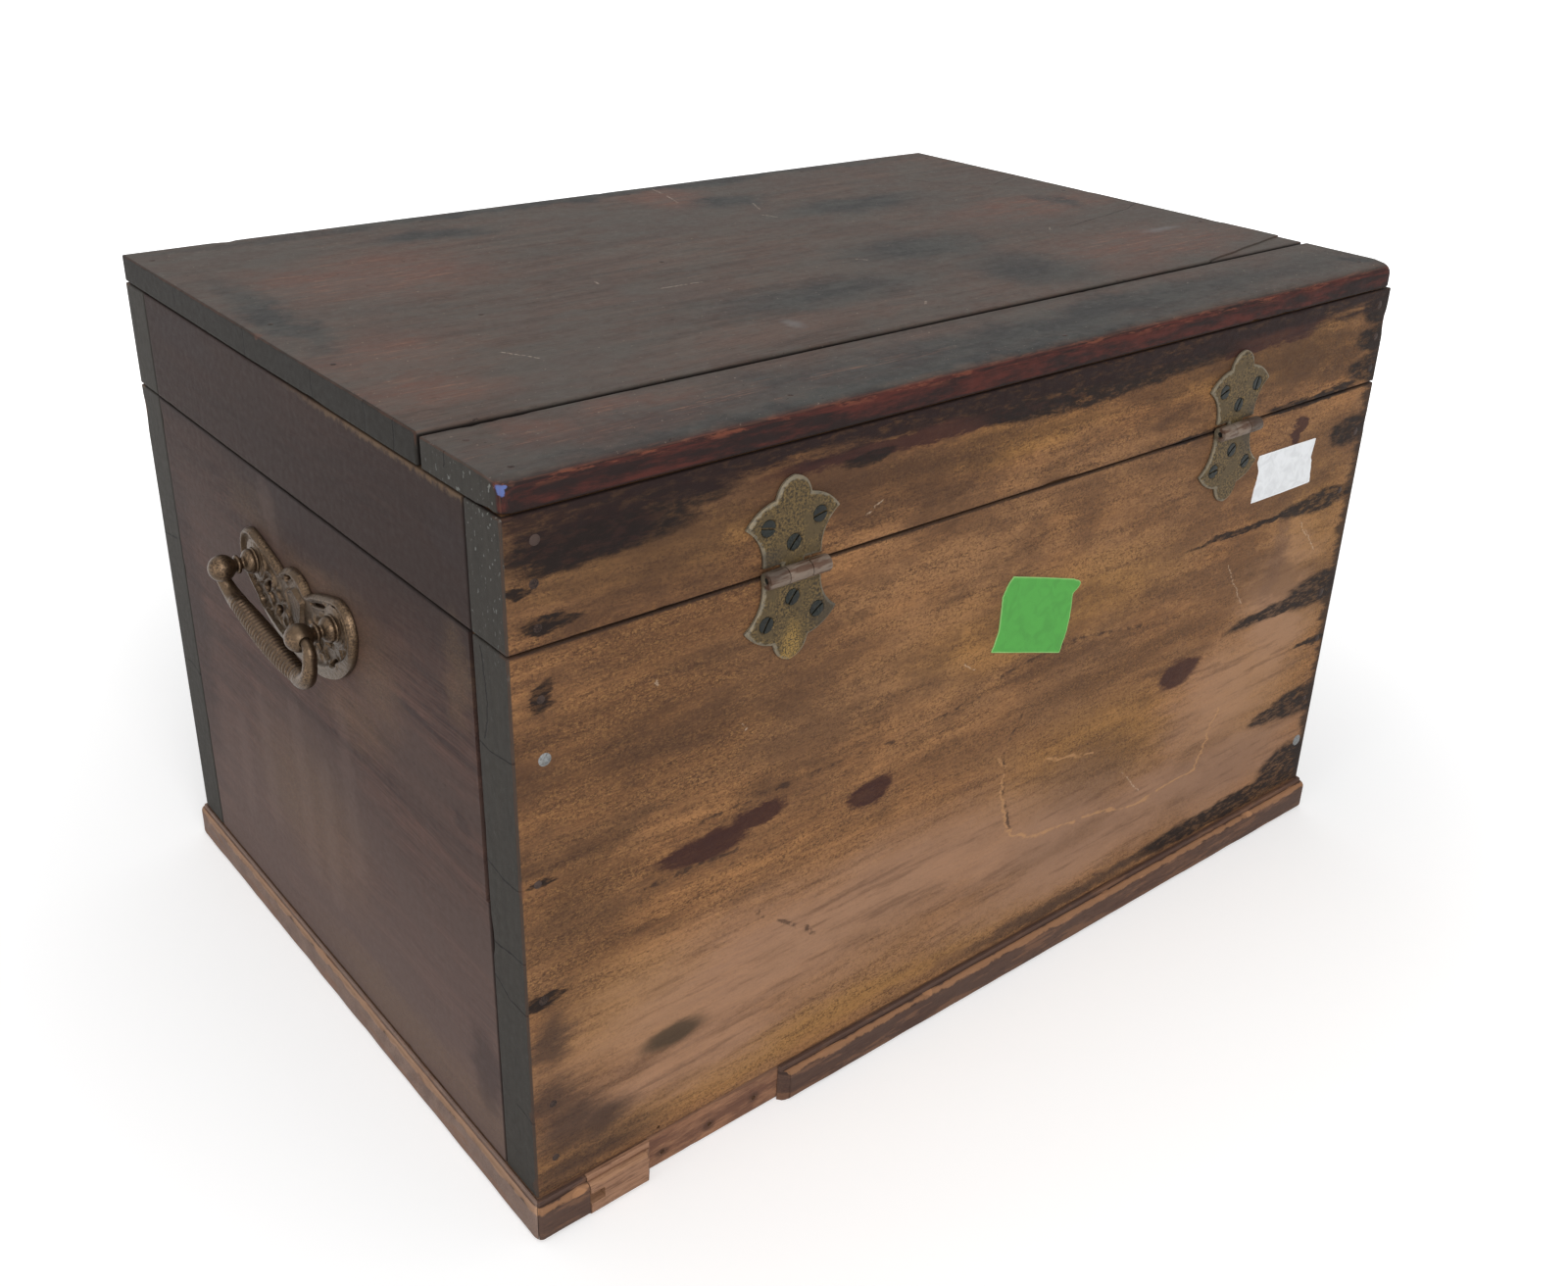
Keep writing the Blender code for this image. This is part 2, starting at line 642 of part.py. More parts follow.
def hinges():
    end_length = (BARREL_LENGTH - MIDDLE_KNUCKLE_LENGTH) / 2 - KNUCKLE_GAP
    end_middle = (BARREL_LENGTH - end_length) / 2
    lid_leaf = leaf_mesh("lid_leaf_shape", [(0, MIDDLE_KNUCKLE_LENGTH)], True)
    body_leaf = leaf_mesh("body_leaf_shape", [(-end_middle, end_length), (end_middle, end_length)], False)
    screw = screw_mesh()
    pin = hinge_pin_mesh()
    upright = (math.radians(90), 0, math.pi)
    hanging = (math.radians(-90), 0, 0)
    turns = iter(SCREW_TURNS)
    leaf_sides = (("lid", 1, lid_marker, lid_back), ("body", -1, case_marker, back_wall))
    for side, x_sign in (("right", 1), ("left", -1)):
        centre = x_sign * HINGE_X
        spot = (centre, BACK_Y, HINGE_AXIS_Z)
        place(add_object(f"hinge_lid_leaf_{side}", lid_leaf), lid_marker, spot, upright)
        place(add_object(f"hinge_body_leaf_{side}", body_leaf), case_marker, spot, hanging)
        pin_spot = (centre, HINGE_AXIS_Y, HINGE_AXIS_Z)
        place(add_object(f"hinge_pin_{side}", pin), case_marker, pin_spot)
        for leaf, z_sign, marker, wall in leaf_sides:
            for number, (across, rise) in enumerate(SCREW_PLACES, 1):
                x, z = centre + across, HINGE_AXIS_Z + z_sign * rise
                head_face = BACK_Y + SEAT_GAP + LEAF_THICKNESS
                name = f"hinge_screw_{leaf}_{side}_{number}"
                turned = (math.radians(-90), math.radians(next(turns)), 0)
                place(add_object(name, screw), marker, (x, head_face, z), turned)
                pilot_hole(f"{name}_pilot", wall, x, z)


hinges()

# Handles: on each end a pierced cast backplate, two ball posts through the wall, nuts and a ribbed bail
POST_HALF_SPACING = 0.0405
PLATE_THICKNESS = 0.0022
PLATE_EDGE = 0.0005
PLATE_END_HALF = 0.0560
PLATE_FOOT_DROP = 0.0335
PLATE_LOBE_RISE = 0.0128
PLATE_CREST_RISE = 0.0098
PLATE_CREST_HALF = 0.0125
PLATE_CREST_SAGITTA = 0.0018
PLATE_NOTCH_RISE = 0.0040
PLATE_NOTCH_SLOPE = 0.0004
PLATE_LOBE_START = 0.0145
RIM_WIDTH = 0.0030
FOOT_RIM_WIDTH = 0.0062
RIM_RISE = 0.0014
CARTOUCHE_HALF = 0.0085
CARTOUCHE_HEAD = 0.0018
CARTOUCHE_SHOULDER = -0.0015
CARTOUCHE_FOOT = 0.0240
CARTOUCHE_RISE = 0.0018
CARTOUCHE_SIDE_SHARE = 0.25
CARTOUCHE_HEAD_SHARE = 0.12
ROSETTE_RADIUS = 0.0100
ROSETTE_RISE = 0.0012
PIERCING_STEPS = 9
PIERCING_TAPER_SHARE = 0.45

# Half of the plate's lower edge, as shares of its half length and of its drop below the posts
PLATE_FOOT_SHARES = (
    (0.20, -1.00),
    (0.38, -0.95),
    (0.60, -0.82),
    (0.78, -0.63),
    (0.93, -0.36),
    (1.00, -0.04),
)
# Half of its outer lobe, as shares of its half length and of its rise above the posts
PLATE_LOBE_SHARES = ((0.985, 0.45), (0.93, 0.82), (0.84, 1.00), (0.72, 0.99))
# Pierced openings on the right half, as shares of the half length: centre, half sizes; and turn in degrees
PIERCING_SHARES = (
    (0.420, 0.052, 0.135, 0.013, 17),
    (0.092, 0.088, 0.060, 0.012, -28),
    (0.535, -0.155, 0.085, 0.036, -43),
    (0.345, -0.285, 0.075, 0.033, -27),
    (0.640, -0.335, 0.060, 0.022, 32),
)


def plate_half_outline(inset=0, foot_inset=0):
    """Half of the backplate's outline, level with the posts at zero, drawn in by an inset."""
    end = PLATE_END_HALF - inset
    drop = PLATE_FOOT_DROP - max(inset, foot_inset)
    rise = PLATE_LOBE_RISE - inset
    crest = PLATE_CREST_RISE - inset
    notch = PLATE_NOTCH_RISE - inset
    foot = [(share_x * end, share_z * drop) for share_x, share_z in PLATE_FOOT_SHARES]
    lobe = [(share_x * end, share_z * rise) for share_x, share_z in PLATE_LOBE_SHARES]
    shoulder = (PLATE_LOBE_START, notch + PLATE_NOTCH_SLOPE)
    crest_foot = (PLATE_CREST_HALF - inset / 2, notch)
    crest_arc = arc_points(crest_foot, (0, crest), PLATE_CREST_SAGITTA, 4)
    return foot + lobe + [shoulder, crest_foot] + crest_arc


def piercing_outlines():
    """Tapered oval openings, mirrored to both halves."""
    outlines = []
    for x_sign in (1, -1):
        for centre_x, centre_z, half_long, half_short, degrees in PIERCING_SHARES:
            turn = math.radians(degrees)
            outline = []
            for step in range(PIERCING_STEPS):
                angle = 2 * math.pi * step / PIERCING_STEPS
                along = half_long * math.cos(angle)
                across = half_short * math.sin(angle) * (1 + PIERCING_TAPER_SHARE * math.cos(angle))
                x = centre_x + along * math.cos(turn) - across * math.sin(turn)
                z = centre_z + along * math.sin(turn) + across * math.cos(turn)
                outline.append((x_sign * x * PLATE_END_HALF, z * PLATE_END_HALF))
            outlines.append(outline)
    return outlines


def cartouche_outline():
    """A small shield in the middle of the plate."""
    head = (0, CARTOUCHE_HEAD)
    shoulder = (CARTOUCHE_HALF, CARTOUCHE_SHOULDER)
    foot = (0, -CARTOUCHE_FOOT)
    side = arc_points(foot, shoulder, CARTOUCHE_SIDE_SHARE * CARTOUCHE_HALF, 5)
    return mirrored([foot] + side + arc_points(shoulder, head, -CARTOUCHE_HEAD_SHARE * CARTOUCHE_HALF, 2))


def backplate_mesh():
    """A backplate in its own frame: X along the wall, Y up, Z out, with the wall's face at zero."""
    outlines = [mirrored(plate_half_outline())] + piercing_outlines()
    plate = outline_object("plate_shape", outlines, PLATE_THICKNESS, PLATE_EDGE)
    plate.location = (0, 0, SEAT_GAP + PLATE_THICKNESS / 2)
    plate = add_object("plate_shape", baked_mesh(plate))
    rim_outlines = [
        mirrored(plate_half_outline(PLATE_EDGE)),
        mirrored(plate_half_outline(RIM_WIDTH, FOOT_RIM_WIDTH)),
    ]
    raised = (("rim", rim_outlines, RIM_RISE), ("cartouche", [cartouche_outline()], CARTOUCHE_RISE))
    tools = []
    for name, outlines, rise in raised:
        height = PLATE_THICKNESS / 2 + rise
        shape = outline_object(name, outlines, height, PLATE_EDGE)
        shape.location = (0, 0, SEAT_GAP + PLATE_THICKNESS + rise - height / 2)
        tools.append(add_object(name, baked_mesh(shape), cutters_collection))
    for x_sign in (1, -1):
        start = (x_sign * POST_HALF_SPACING, 0, SEAT_GAP + PLATE_THICKNESS / 2)
        length = PLATE_THICKNESS / 2 + ROSETTE_RISE
        slim = ROSETTE_RADIUS - ROSETTE_RISE
        rosette = f"rosette_{x_sign}"
        tools.append(cone_object(rosette, ROSETTE_RADIUS, slim, start, length, "z", KNUCKLE_SIDES))
    for tool in tools:
        apply_boolean(plate, tool, "UNION")
    hole_radius = POST_SHANK_RADIUS + POST_SHANK_CLEARANCE
    for x_sign in (1, -1):
        start = (x_sign * POST_HALF_SPACING, 0, -CUT_OVERRUN)
        length = SEAT_GAP + PLATE_THICKNESS + ROSETTE_RISE + 2 * CUT_OVERRUN
        tools.append(rod_object(f"plate_hole_{x_sign}", hole_radius, start, length, "z", SHANK_SIDES))
        apply_boolean(plate, tools[-1], "DIFFERENCE")
    return give(baked_mesh(plate, tools), HANDLE_BRONZE)


POST_SHANK_RADIUS = 0.0020
POST_SHANK_CLEARANCE = 0.00025
SHANK_PROTRUSION = 0.0052
BAIL_AXIS_REACH = 0.0180
BALL_RADIUS = 0.0060
BALL_STEPS = 6
BALL_SWEEP_DEGREES = 156
KNOB_RADIUS = 0.0060
BAIL_HOLE_RADIUS = 0.0024
BAIL_HOLE_DEPTH = 0.0048
SHANK_SIDES = 12
POST_STEPS = 14
# Below the ball: collar, neck and knob, as shares of the knob's radius and of the height up to the ball
POST_PROFILE_SHARES = (
    (0.66, 0.90),
    (0.66, 0.76),
    (0.43, 0.70),
    (0.43, 0.58),
    (0.76, 0.44),
    (1.00, 0.24),
    (1.00, 0.00),
)


def post_mesh():
    """A post about Z, with the wall's face at zero: ball, collar, knob, and a shank that passes the wall."""
    seat = SEAT_GAP + PLATE_THICKNESS + ROSETTE_RISE + SEAT_GAP
    profile = [(0, BAIL_AXIS_REACH + BALL_RADIUS)]
    for step in range(1, BALL_STEPS + 1):
        angle = math.radians(90 - BALL_SWEEP_DEGREES * step / BALL_STEPS)
        profile.append((BALL_RADIUS * math.cos(angle), BAIL_AXIS_REACH + BALL_RADIUS * math.sin(angle)))
    rise = BAIL_AXIS_REACH - BALL_RADIUS - seat
    for radius_share, rise_share in POST_PROFILE_SHARES:
        profile.append((radius_share * KNOB_RADIUS, seat + rise_share * rise))
    foot = -END_WALL_THICKNESS - SHANK_PROTRUSION
    profile += [(POST_SHANK_RADIUS, seat), (POST_SHANK_RADIUS, foot), (0, foot)]
    post = lathe_object("post_shape", profile, POST_STEPS)
    hole_start = (BALL_RADIUS - BAIL_HOLE_DEPTH, 0, BAIL_AXIS_REACH)
    hole_length = BAIL_HOLE_DEPTH + CUT_OVERRUN
    hole = rod_object("bail_hole", BAIL_HOLE_RADIUS, hole_start, hole_length, "x", SHANK_SIDES)
    apply_boolean(post, hole, "DIFFERENCE")
    return give(baked_mesh(post, [hole]), HANDLE_BRONZE)


NUT_WIDTH = 0.0088
NUT_THICKNESS = 0.0034
NUT_EDGE = 0.0004


def nut_mesh():
    """A square nut about Z, standing on the wall's inner face at zero."""
    nut = box_object("nut_shape", (NUT_WIDTH, NUT_WIDTH, NUT_THICKNESS), (0, 0, NUT_THICKNESS / 2))
    bevel = nut.modifiers.new("edge", "BEVEL")
    bevel.width = NUT_EDGE
    bevel.segments = 1
    nut = add_object("nut_shape", baked_mesh(nut))
    radius = POST_SHANK_RADIUS + POST_SHANK_CLEARANCE
    start = (0, 0, -CUT_OVERRUN)
    bore = rod_object("nut_bore", radius, start, NUT_THICKNESS + 2 * CUT_OVERRUN, "z", SHANK_SIDES)
    apply_boolean(nut, bore, "DIFFERENCE")
    return give(baked_mesh(nut, [bore]), DARK_STEEL)


BAIL_ARM_HALF = 0.0505
BAIL_CORNER_DROP = 0.0180
BAIL_CORNER_SHARE = 0.72
BAIL_SAG = 0.0015
BAIL_LEAN = -0.0020
BAIL_TWIST = 0.0030
BAIL_BEND_STEPS = 4
HOOK_RADIUS = 0.0020
ARM_RADIUS = 0.0027
GRIP_HALF = 0.0370
GRIP_END_RADIUS = 0.0038
GRIP_MIDDLE_RADIUS = 0.0050
GRIP_RIBS = 24
RIB_DEPTH = 0.0009
# Where each rib's crest and its groove lie along its own length
RIB_CREST_SHARE = 0.25
RIB_GROOVE_SHARE = 0.85
HOOK_TIP_HALF = POST_HALF_SPACING + BALL_RADIUS - BAIL_HOLE_DEPTH + POST_SHANK_CLEARANCE


def bail_arm():
    """(half place, drop, radius) of one arm, from its hook tip in the ball to the grip's end."""
    bend = BAIL_ARM_HALF - POST_HALF_SPACING - BALL_RADIUS
    points = [(HOOK_TIP_HALF, 0, HOOK_RADIUS), (BAIL_ARM_HALF - bend, 0, HOOK_RADIUS)]
    for step in range(1, BAIL_BEND_STEPS + 1):
        angle = math.radians(90 * step / BAIL_BEND_STEPS)
        radius = HOOK_RADIUS + (ARM_RADIUS - HOOK_RADIUS) * step / BAIL_BEND_STEPS
        points.append((BAIL_ARM_HALF - bend * (1 - math.sin(angle)), bend * (1 - math.cos(angle)), radius))
    corner = BAIL_ARM_HALF - GRIP_HALF
    lower_bend = BAIL_CORNER_SHARE * min(corner, BAIL_CORNER_DROP - bend)
    for step in range(BAIL_BEND_STEPS + 1):
        angle = math.radians(90 * step / BAIL_BEND_STEPS)
        half = BAIL_ARM_HALF - lower_bend * (1 - math.cos(angle))
        drop = BAIL_CORNER_DROP - lower_bend * (1 - math.sin(angle))
        radius = ARM_RADIUS + (GRIP_END_RADIUS - ARM_RADIUS) * step / BAIL_BEND_STEPS
        points.append((half, drop, radius))
    return points


def bail_path():
    """(place along the handle, reach, drop, radius) from hook to hook, leaning and twisted by use."""
    arm = bail_arm()
    path = list(arm)
    for rib in range(GRIP_RIBS):
        for rib_share, groove in ((RIB_CREST_SHARE, 0), (RIB_GROOVE_SHARE, RIB_DEPTH)):
            place_share = 1 - 2 * (rib + rib_share) / GRIP_RIBS
            swell = 1 - place_share * place_share
            radius = GRIP_END_RADIUS + (GRIP_MIDDLE_RADIUS - GRIP_END_RADIUS) * swell - groove
            path.append((GRIP_HALF * place_share, BAIL_CORNER_DROP + BAIL_SAG * swell, radius))
    path += [(-half, drop, radius) for half, drop, radius in reversed(arm)]
    twisted = []
    for half, drop, radius in path:
        share = drop / BAIL_CORNER_DROP
        reach = share * (BAIL_LEAN + BAIL_TWIST * half / POST_HALF_SPACING)
        twisted.append((half, reach, drop, radius))
    return twisted


def bail_mesh():
    """The bail about its own axis, which lies along Y: X out from the wall, Z up."""
    curve = bpy.data.curves.new("bail_shape", "CURVE")
    curve.dimensions = "3D"
    curve.bevel_depth = 1
    curve.bevel_resolution = 2
    curve.use_fill_caps = True
    path = bail_path()
    spline = curve.splines.new("POLY")
    spline.points.add(len(path) - 1)
    for point, (half, reach, drop, radius) in zip(spline.points, path):
        point.co = (reach, half, -drop, 1)
        point.radius = radius
    return give(baked_mesh(add_object("bail_shape", curve)), HANDLE_BRONZE)


def handles():
    plate, post, nut, bail = backplate_mesh(), post_mesh(), nut_mesh(), bail_mesh()
    outward = (math.radians(90), 0, math.radians(90))
    for side, marker in handle_markers.items():
        fittings = [(add_object(f"handle_{side}_backplate", plate), (0, 0, 0), outward)]
        for label, y_sign in (("rear", 1), ("front", -1)):
            y = y_sign * POST_HALF_SPACING
            quarter = (math.radians(90), 0, math.radians(90))
            if y_sign < 0:
                quarter = (math.radians(90), math.pi, math.radians(90))
            fittings.append((add_object(f"handle_{side}_post_{label}", post), (0, y, 0), quarter))
            inner = -END_WALL_THICKNESS - SEAT_GAP
            inward = (math.radians(90), 0, math.radians(-90))
            fittings.append((add_object(f"handle_{side}_nut_{label}", nut), (inner, y, 0), inward))
            radius = POST_SHANK_RADIUS + POST_SHANK_CLEARANCE
            start = (-END_WALL_THICKNESS - CUT_OVERRUN, y, 0)
            length = END_WALL_THICKNESS + 2 * CUT_OVERRUN
            hole_name = f"{side}_{label}_shank_hole"
            hole = as_tool(rod_object(hole_name, radius, start, length, "x", SHANK_SIDES))
            hole.parent = marker
            apply_boolean(end_walls[side], hole, "DIFFERENCE")
        fittings.append((add_object(f"handle_{side}_bail", bail), (BAIL_AXIS_REACH, 0, 0), (0, 0, 0)))
        for piece, location, rotation in fittings:
            piece.parent = marker
            piece.location = location
            piece.rotation_euler = rotation


handles()

# Chest lock: a case let into the front wall, a sliding bolt, a strike with two loops, and an escutcheon
LOCK_END_ROOM = 0.0002
LOCK_HEIGHT = 0.0380
LOCK_DEPTH = 0.0110
LOCK_WALL = 0.0016
SELVAGE_LAP = 0.0060
SELVAGE_DEPTH = 0.0140
SELVAGE_THICKNESS = 0.0018
LOCK_FIT = 0.0003
LOOP_HALF_SPACING = 0.0150
LOOP_THICKNESS = 0.0022
LOOP_WIDTH = 0.0064
LOOP_LENGTH = 0.0110
LOOP_HOLE_WIDTH = 0.0044
LOOP_HOLE_HEIGHT = 0.0050
LOOP_HOLE_DROP = 0.0074
LOOP_CLEARANCE = 0.0007
STRIKE_LENGTH = 0.0700
STRIKE_THICKNESS = 0.0016
BOLT_THICKNESS = 0.0030
BOLT_BAR_HEIGHT = 0.0080
BOLT_BAR_DROP = 0.0250
PRONG_HEIGHT = 0.0034
PRONG_LENGTH = 0.0075
PRONG_ARM_WIDTH = 0.0050
PRONG_BACKSET = 0.0016
BOLT_THROW = 0.0070
GUIDE_RADIUS = 0.0015
GUIDE_BOSS_RADIUS = 0.0028
GUIDE_CLEARANCE = 0.0003
GUIDE_HEAD = 0.0010
GUIDE_PLACES = (-LOOP_HALF_SPACING, 0)
KEYHOLE_RADIUS = 0.0019
KEYHOLE_SLOT_WIDTH = 0.0017
KEYHOLE_SLOT_LENGTH = 0.0075
KEYHOLE_DROP = 0.0280
ESCUTCHEON_HALF_WIDTH = 0.0095
ESCUTCHEON_HALF_HEIGHT = 0.0150
ESCUTCHEON_THICKNESS = 0.0012
ESCUTCHEON_EDGE = 0.0004
ESCUTCHEON_STEPS = 20
BOLT_REACH = LOOP_HALF_SPACING + LOOP_THICKNESS / 2 + PRONG_BACKSET + PRONG_LENGTH + PRONG_ARM_WIDTH
LOCK_LENGTH = 2 * (BOLT_REACH + LOCK_END_ROOM + LOCK_WALL)
SELVAGE_LENGTH = LOCK_LENGTH + 2 * SELVAGE_LAP
LOCK_INNER_Y = FRONT_Y + LONG_WALL_THICKNESS
LOCK_HEAD = BODY_HEIGHT
LOCK_CENTRE_Y = LOCK_INNER_Y - LOCK_DEPTH / 2
LOOP_Y = LOCK_CENTRE_Y - LOCK_WALL / 2
KEYHOLE_Z = LOCK_HEAD - KEYHOLE_DROP
GUIDE_Z = LOCK_HEAD - BOLT_BAR_DROP + BOLT_BAR_HEIGHT / 2


def keyhole_cutters(name, start_y, length):
    """A round hole with a slot below it, along Y."""
    start = (0, start_y, KEYHOLE_Z)
    hole = rod_object(f"{name}_round", KEYHOLE_RADIUS, start, length, "y", SHANK_SIDES)
    slot_size = (KEYHOLE_SLOT_WIDTH, length, KEYHOLE_SLOT_LENGTH)
    slot_centre = (0, start_y + length / 2, KEYHOLE_Z - KEYHOLE_SLOT_LENGTH / 2)
    slot = box_object(f"{name}_slot", slot_size, slot_centre, cutters_collection)
    return [as_tool(hole), as_tool(slot)]


def lock_mortise():
    """The recess for the lock in the front wall, and the keyhole through what is left of it."""
    pocket_size = (
        LOCK_LENGTH + 2 * LOCK_FIT,
        LOCK_DEPTH + LOCK_FIT + CUT_OVERRUN,
        LOCK_HEIGHT + LOCK_FIT + CUT_OVERRUN,
    )
    pocket_centre = (
        0,
        LOCK_INNER_Y + (CUT_OVERRUN - LOCK_DEPTH - LOCK_FIT) / 2,
        LOCK_HEAD + (CUT_OVERRUN - LOCK_HEIGHT - LOCK_FIT) / 2,
    )
    rebate_size = (
        SELVAGE_LENGTH + 2 * LOCK_FIT,
        SELVAGE_DEPTH + LOCK_FIT + CUT_OVERRUN,
        SELVAGE_THICKNESS + LOCK_FIT + CUT_OVERRUN,
    )
    rebate_centre = (
        0,
        LOCK_INNER_Y + (CUT_OVERRUN - SELVAGE_DEPTH - LOCK_FIT) / 2,
        LOCK_HEAD + (CUT_OVERRUN - SELVAGE_THICKNESS - LOCK_FIT) / 2,
    )
    cutters = [
        as_tool(box_object("lock_pocket", pocket_size, pocket_centre, cutters_collection)),
        as_tool(box_object("selvage_rebate", rebate_size, rebate_centre, cutters_collection)),
    ]
    cutters += keyhole_cutters("wall_keyhole", FRONT_Y - CUT_OVERRUN, LONG_WALL_THICKNESS)
    for cutter in cutters:
        apply_boolean(front_wall, cutter, "DIFFERENCE")
    seat_size = (
        STRIKE_LENGTH + 2 * LOCK_FIT,
        SELVAGE_DEPTH + LOCK_FIT + CUT_OVERRUN,
        STRIKE_THICKNESS + LOCK_FIT + CUT_OVERRUN,
    )
    seat_centre = (
        0,
        LOCK_INNER_Y + (CUT_OVERRUN - SELVAGE_DEPTH - LOCK_FIT) / 2,
        LID_FOOT + (STRIKE_THICKNESS + LOCK_FIT - CUT_OVERRUN) / 2,
    )
    seat = as_tool(box_object("strike_rebate", seat_size, seat_centre, cutters_collection))
    apply_boolean(lid_front, seat, "DIFFERENCE")


def lock_case():
    centre = (0, LOCK_CENTRE_Y, LOCK_HEAD - LOCK_HEIGHT / 2)
    case = box_object("lock_case", (LOCK_LENGTH, LOCK_DEPTH, LOCK_HEIGHT), centre)
    selvage_size = (SELVAGE_LENGTH, SELVAGE_DEPTH, SELVAGE_THICKNESS)
    selvage_centre = (0, LOCK_INNER_Y - SELVAGE_DEPTH / 2, LOCK_HEAD - SELVAGE_THICKNESS / 2)
    selvage = box_object("selvage_tool", selvage_size, selvage_centre, cutters_collection)
    apply_boolean(case, selvage, "UNION")
    inner_height = LOCK_HEIGHT - SELVAGE_THICKNESS - LOCK_WALL
    cavity_size = (LOCK_LENGTH - 2 * LOCK_WALL, LOCK_DEPTH - LOCK_WALL + CUT_OVERRUN, inner_height)
    cavity_centre = (
        0,
        LOCK_INNER_Y - LOCK_WALL - (LOCK_DEPTH - LOCK_WALL + CUT_OVERRUN) / 2,
        LOCK_HEAD - SELVAGE_THICKNESS - inner_height / 2,
    )
    tools = [selvage, box_object("lock_cavity", cavity_size, cavity_centre, cutters_collection)]
    apply_boolean(case, tools[1], "DIFFERENCE")
    guide_root = LOCK_INNER_Y - LOCK_WALL / 2
    boss_end = LOOP_Y + BOLT_THICKNESS / 2 + GUIDE_CLEARANCE
    stud_end = LOOP_Y - BOLT_THICKNESS / 2 - GUIDE_HEAD
    for index, x in enumerate(GUIDE_PLACES):
        for kind, radius, end in (("boss", GUIDE_BOSS_RADIUS, boss_end), ("stud", GUIDE_RADIUS, stud_end)):
            start = (x, end, GUIDE_Z)
            guide = rod_object(f"guide_{kind}_{index}", radius, start, guide_root - end, "y", SHANK_SIDES)
            apply_boolean(case, guide, "UNION")
            tools.append(guide)
    slot_size = (
        LOOP_THICKNESS + 2 * LOOP_CLEARANCE,
        LOOP_WIDTH + 2 * LOOP_CLEARANCE,
        2 * (SELVAGE_THICKNESS + CUT_OVERRUN),
    )
    for x_sign in (1, -1):
        slot_centre = (x_sign * LOOP_HALF_SPACING, LOOP_Y, LOCK_HEAD)
        tools.append(box_object(f"loop_slot_{x_sign}", slot_size, slot_centre, cutters_collection))
        apply_boolean(case, tools[-1], "DIFFERENCE")
    case = add_object("lock_case", give(baked_mesh(case, tools), HINGE_BRASS))
    place(case, case_marker, (0, 0, 0))


def lock_strike():
    size = (STRIKE_LENGTH, SELVAGE_DEPTH, STRIKE_THICKNESS)
    centre = (0, LOCK_INNER_Y - SELVAGE_DEPTH / 2, LID_FOOT + STRIKE_THICKNESS / 2)
    strike = box_object("lock_strike", size, centre)
    tools = []
    for x_sign in (1, -1):
        x = x_sign * LOOP_HALF_SPACING
        loop_height = LOOP_LENGTH + STRIKE_THICKNESS / 2
        loop_centre = (x, LOOP_Y, LID_FOOT - LOOP_LENGTH + loop_height / 2)
        loop_size = (LOOP_THICKNESS, LOOP_WIDTH, loop_height)
        loop = box_object(f"loop_{x_sign}", loop_size, loop_centre, cutters_collection)
        apply_boolean(strike, loop, "UNION")
        hole_size = (LOOP_THICKNESS + 2 * CUT_OVERRUN, LOOP_HOLE_WIDTH, LOOP_HOLE_HEIGHT)
        hole_centre = (x, LOOP_Y, LID_FOOT - LOOP_HOLE_DROP)
        hole = box_object(f"loop_hole_{x_sign}", hole_size, hole_centre, cutters_collection)
        tools += [loop, hole]
    for hole in tools[1::2]:
        apply_boolean(strike, hole, "DIFFERENCE")
    strike = add_object("lock_strike", give(baked_mesh(strike, tools), HINGE_BRASS))
    place(strike, lid_marker, (0, 0, 0))


def lock_bolt():
    """A bar on two guide studs, with two raised prongs. At rest the prongs stand clear beside the loops."""
    prong_z = LID_FOOT - LOOP_HOLE_DROP
    bar_head = LOCK_HEAD - BOLT_BAR_DROP + BOLT_BAR_HEIGHT
    bar_foot = LOCK_HEAD - BOLT_BAR_DROP
    top = prong_z + PRONG_HEIGHT / 2
    step = prong_z - PRONG_HEIGHT / 2
    outline = []
    for x_sign in (1, -1):
        tip = x_sign * LOOP_HALF_SPACING - LOOP_THICKNESS / 2 - PRONG_BACKSET
        arm = tip - PRONG_LENGTH
        outline += [
            (arm, bar_head),
            (arm, step),
            (tip, step),
            (tip, top),
            (arm - PRONG_ARM_WIDTH, top),
            (arm - PRONG_ARM_WIDTH, bar_head),
        ]
    last_x = outline[-1][0]
    outline[-1:] = [(last_x, bar_foot), (outline[0][0], bar_foot)]
    bolt = outline_object("lock_bolt", [outline], BOLT_THICKNESS)
    bolt.rotation_euler = (math.radians(90), 0, 0)
    bolt = add_object("lock_bolt", baked_mesh(bolt))
    slot_half = GUIDE_RADIUS + GUIDE_CLEARANCE
    slots = []
    slot_size = (BOLT_THROW + 2 * slot_half, BOLT_THICKNESS + 2 * CUT_OVERRUN, 2 * slot_half)
    for index, x in enumerate(GUIDE_PLACES):
        slot_centre = (x - BOLT_THROW / 2, 0, GUIDE_Z)
        slots.append(box_object(f"bolt_slot_{index}", slot_size, slot_centre, cutters_collection))
        apply_boolean(bolt, slots[-1], "DIFFERENCE")
    bolt = add_object("lock_bolt", give(baked_mesh(bolt, slots), DARK_STEEL))
    place(bolt, case_marker, (0, LOOP_Y, 0))


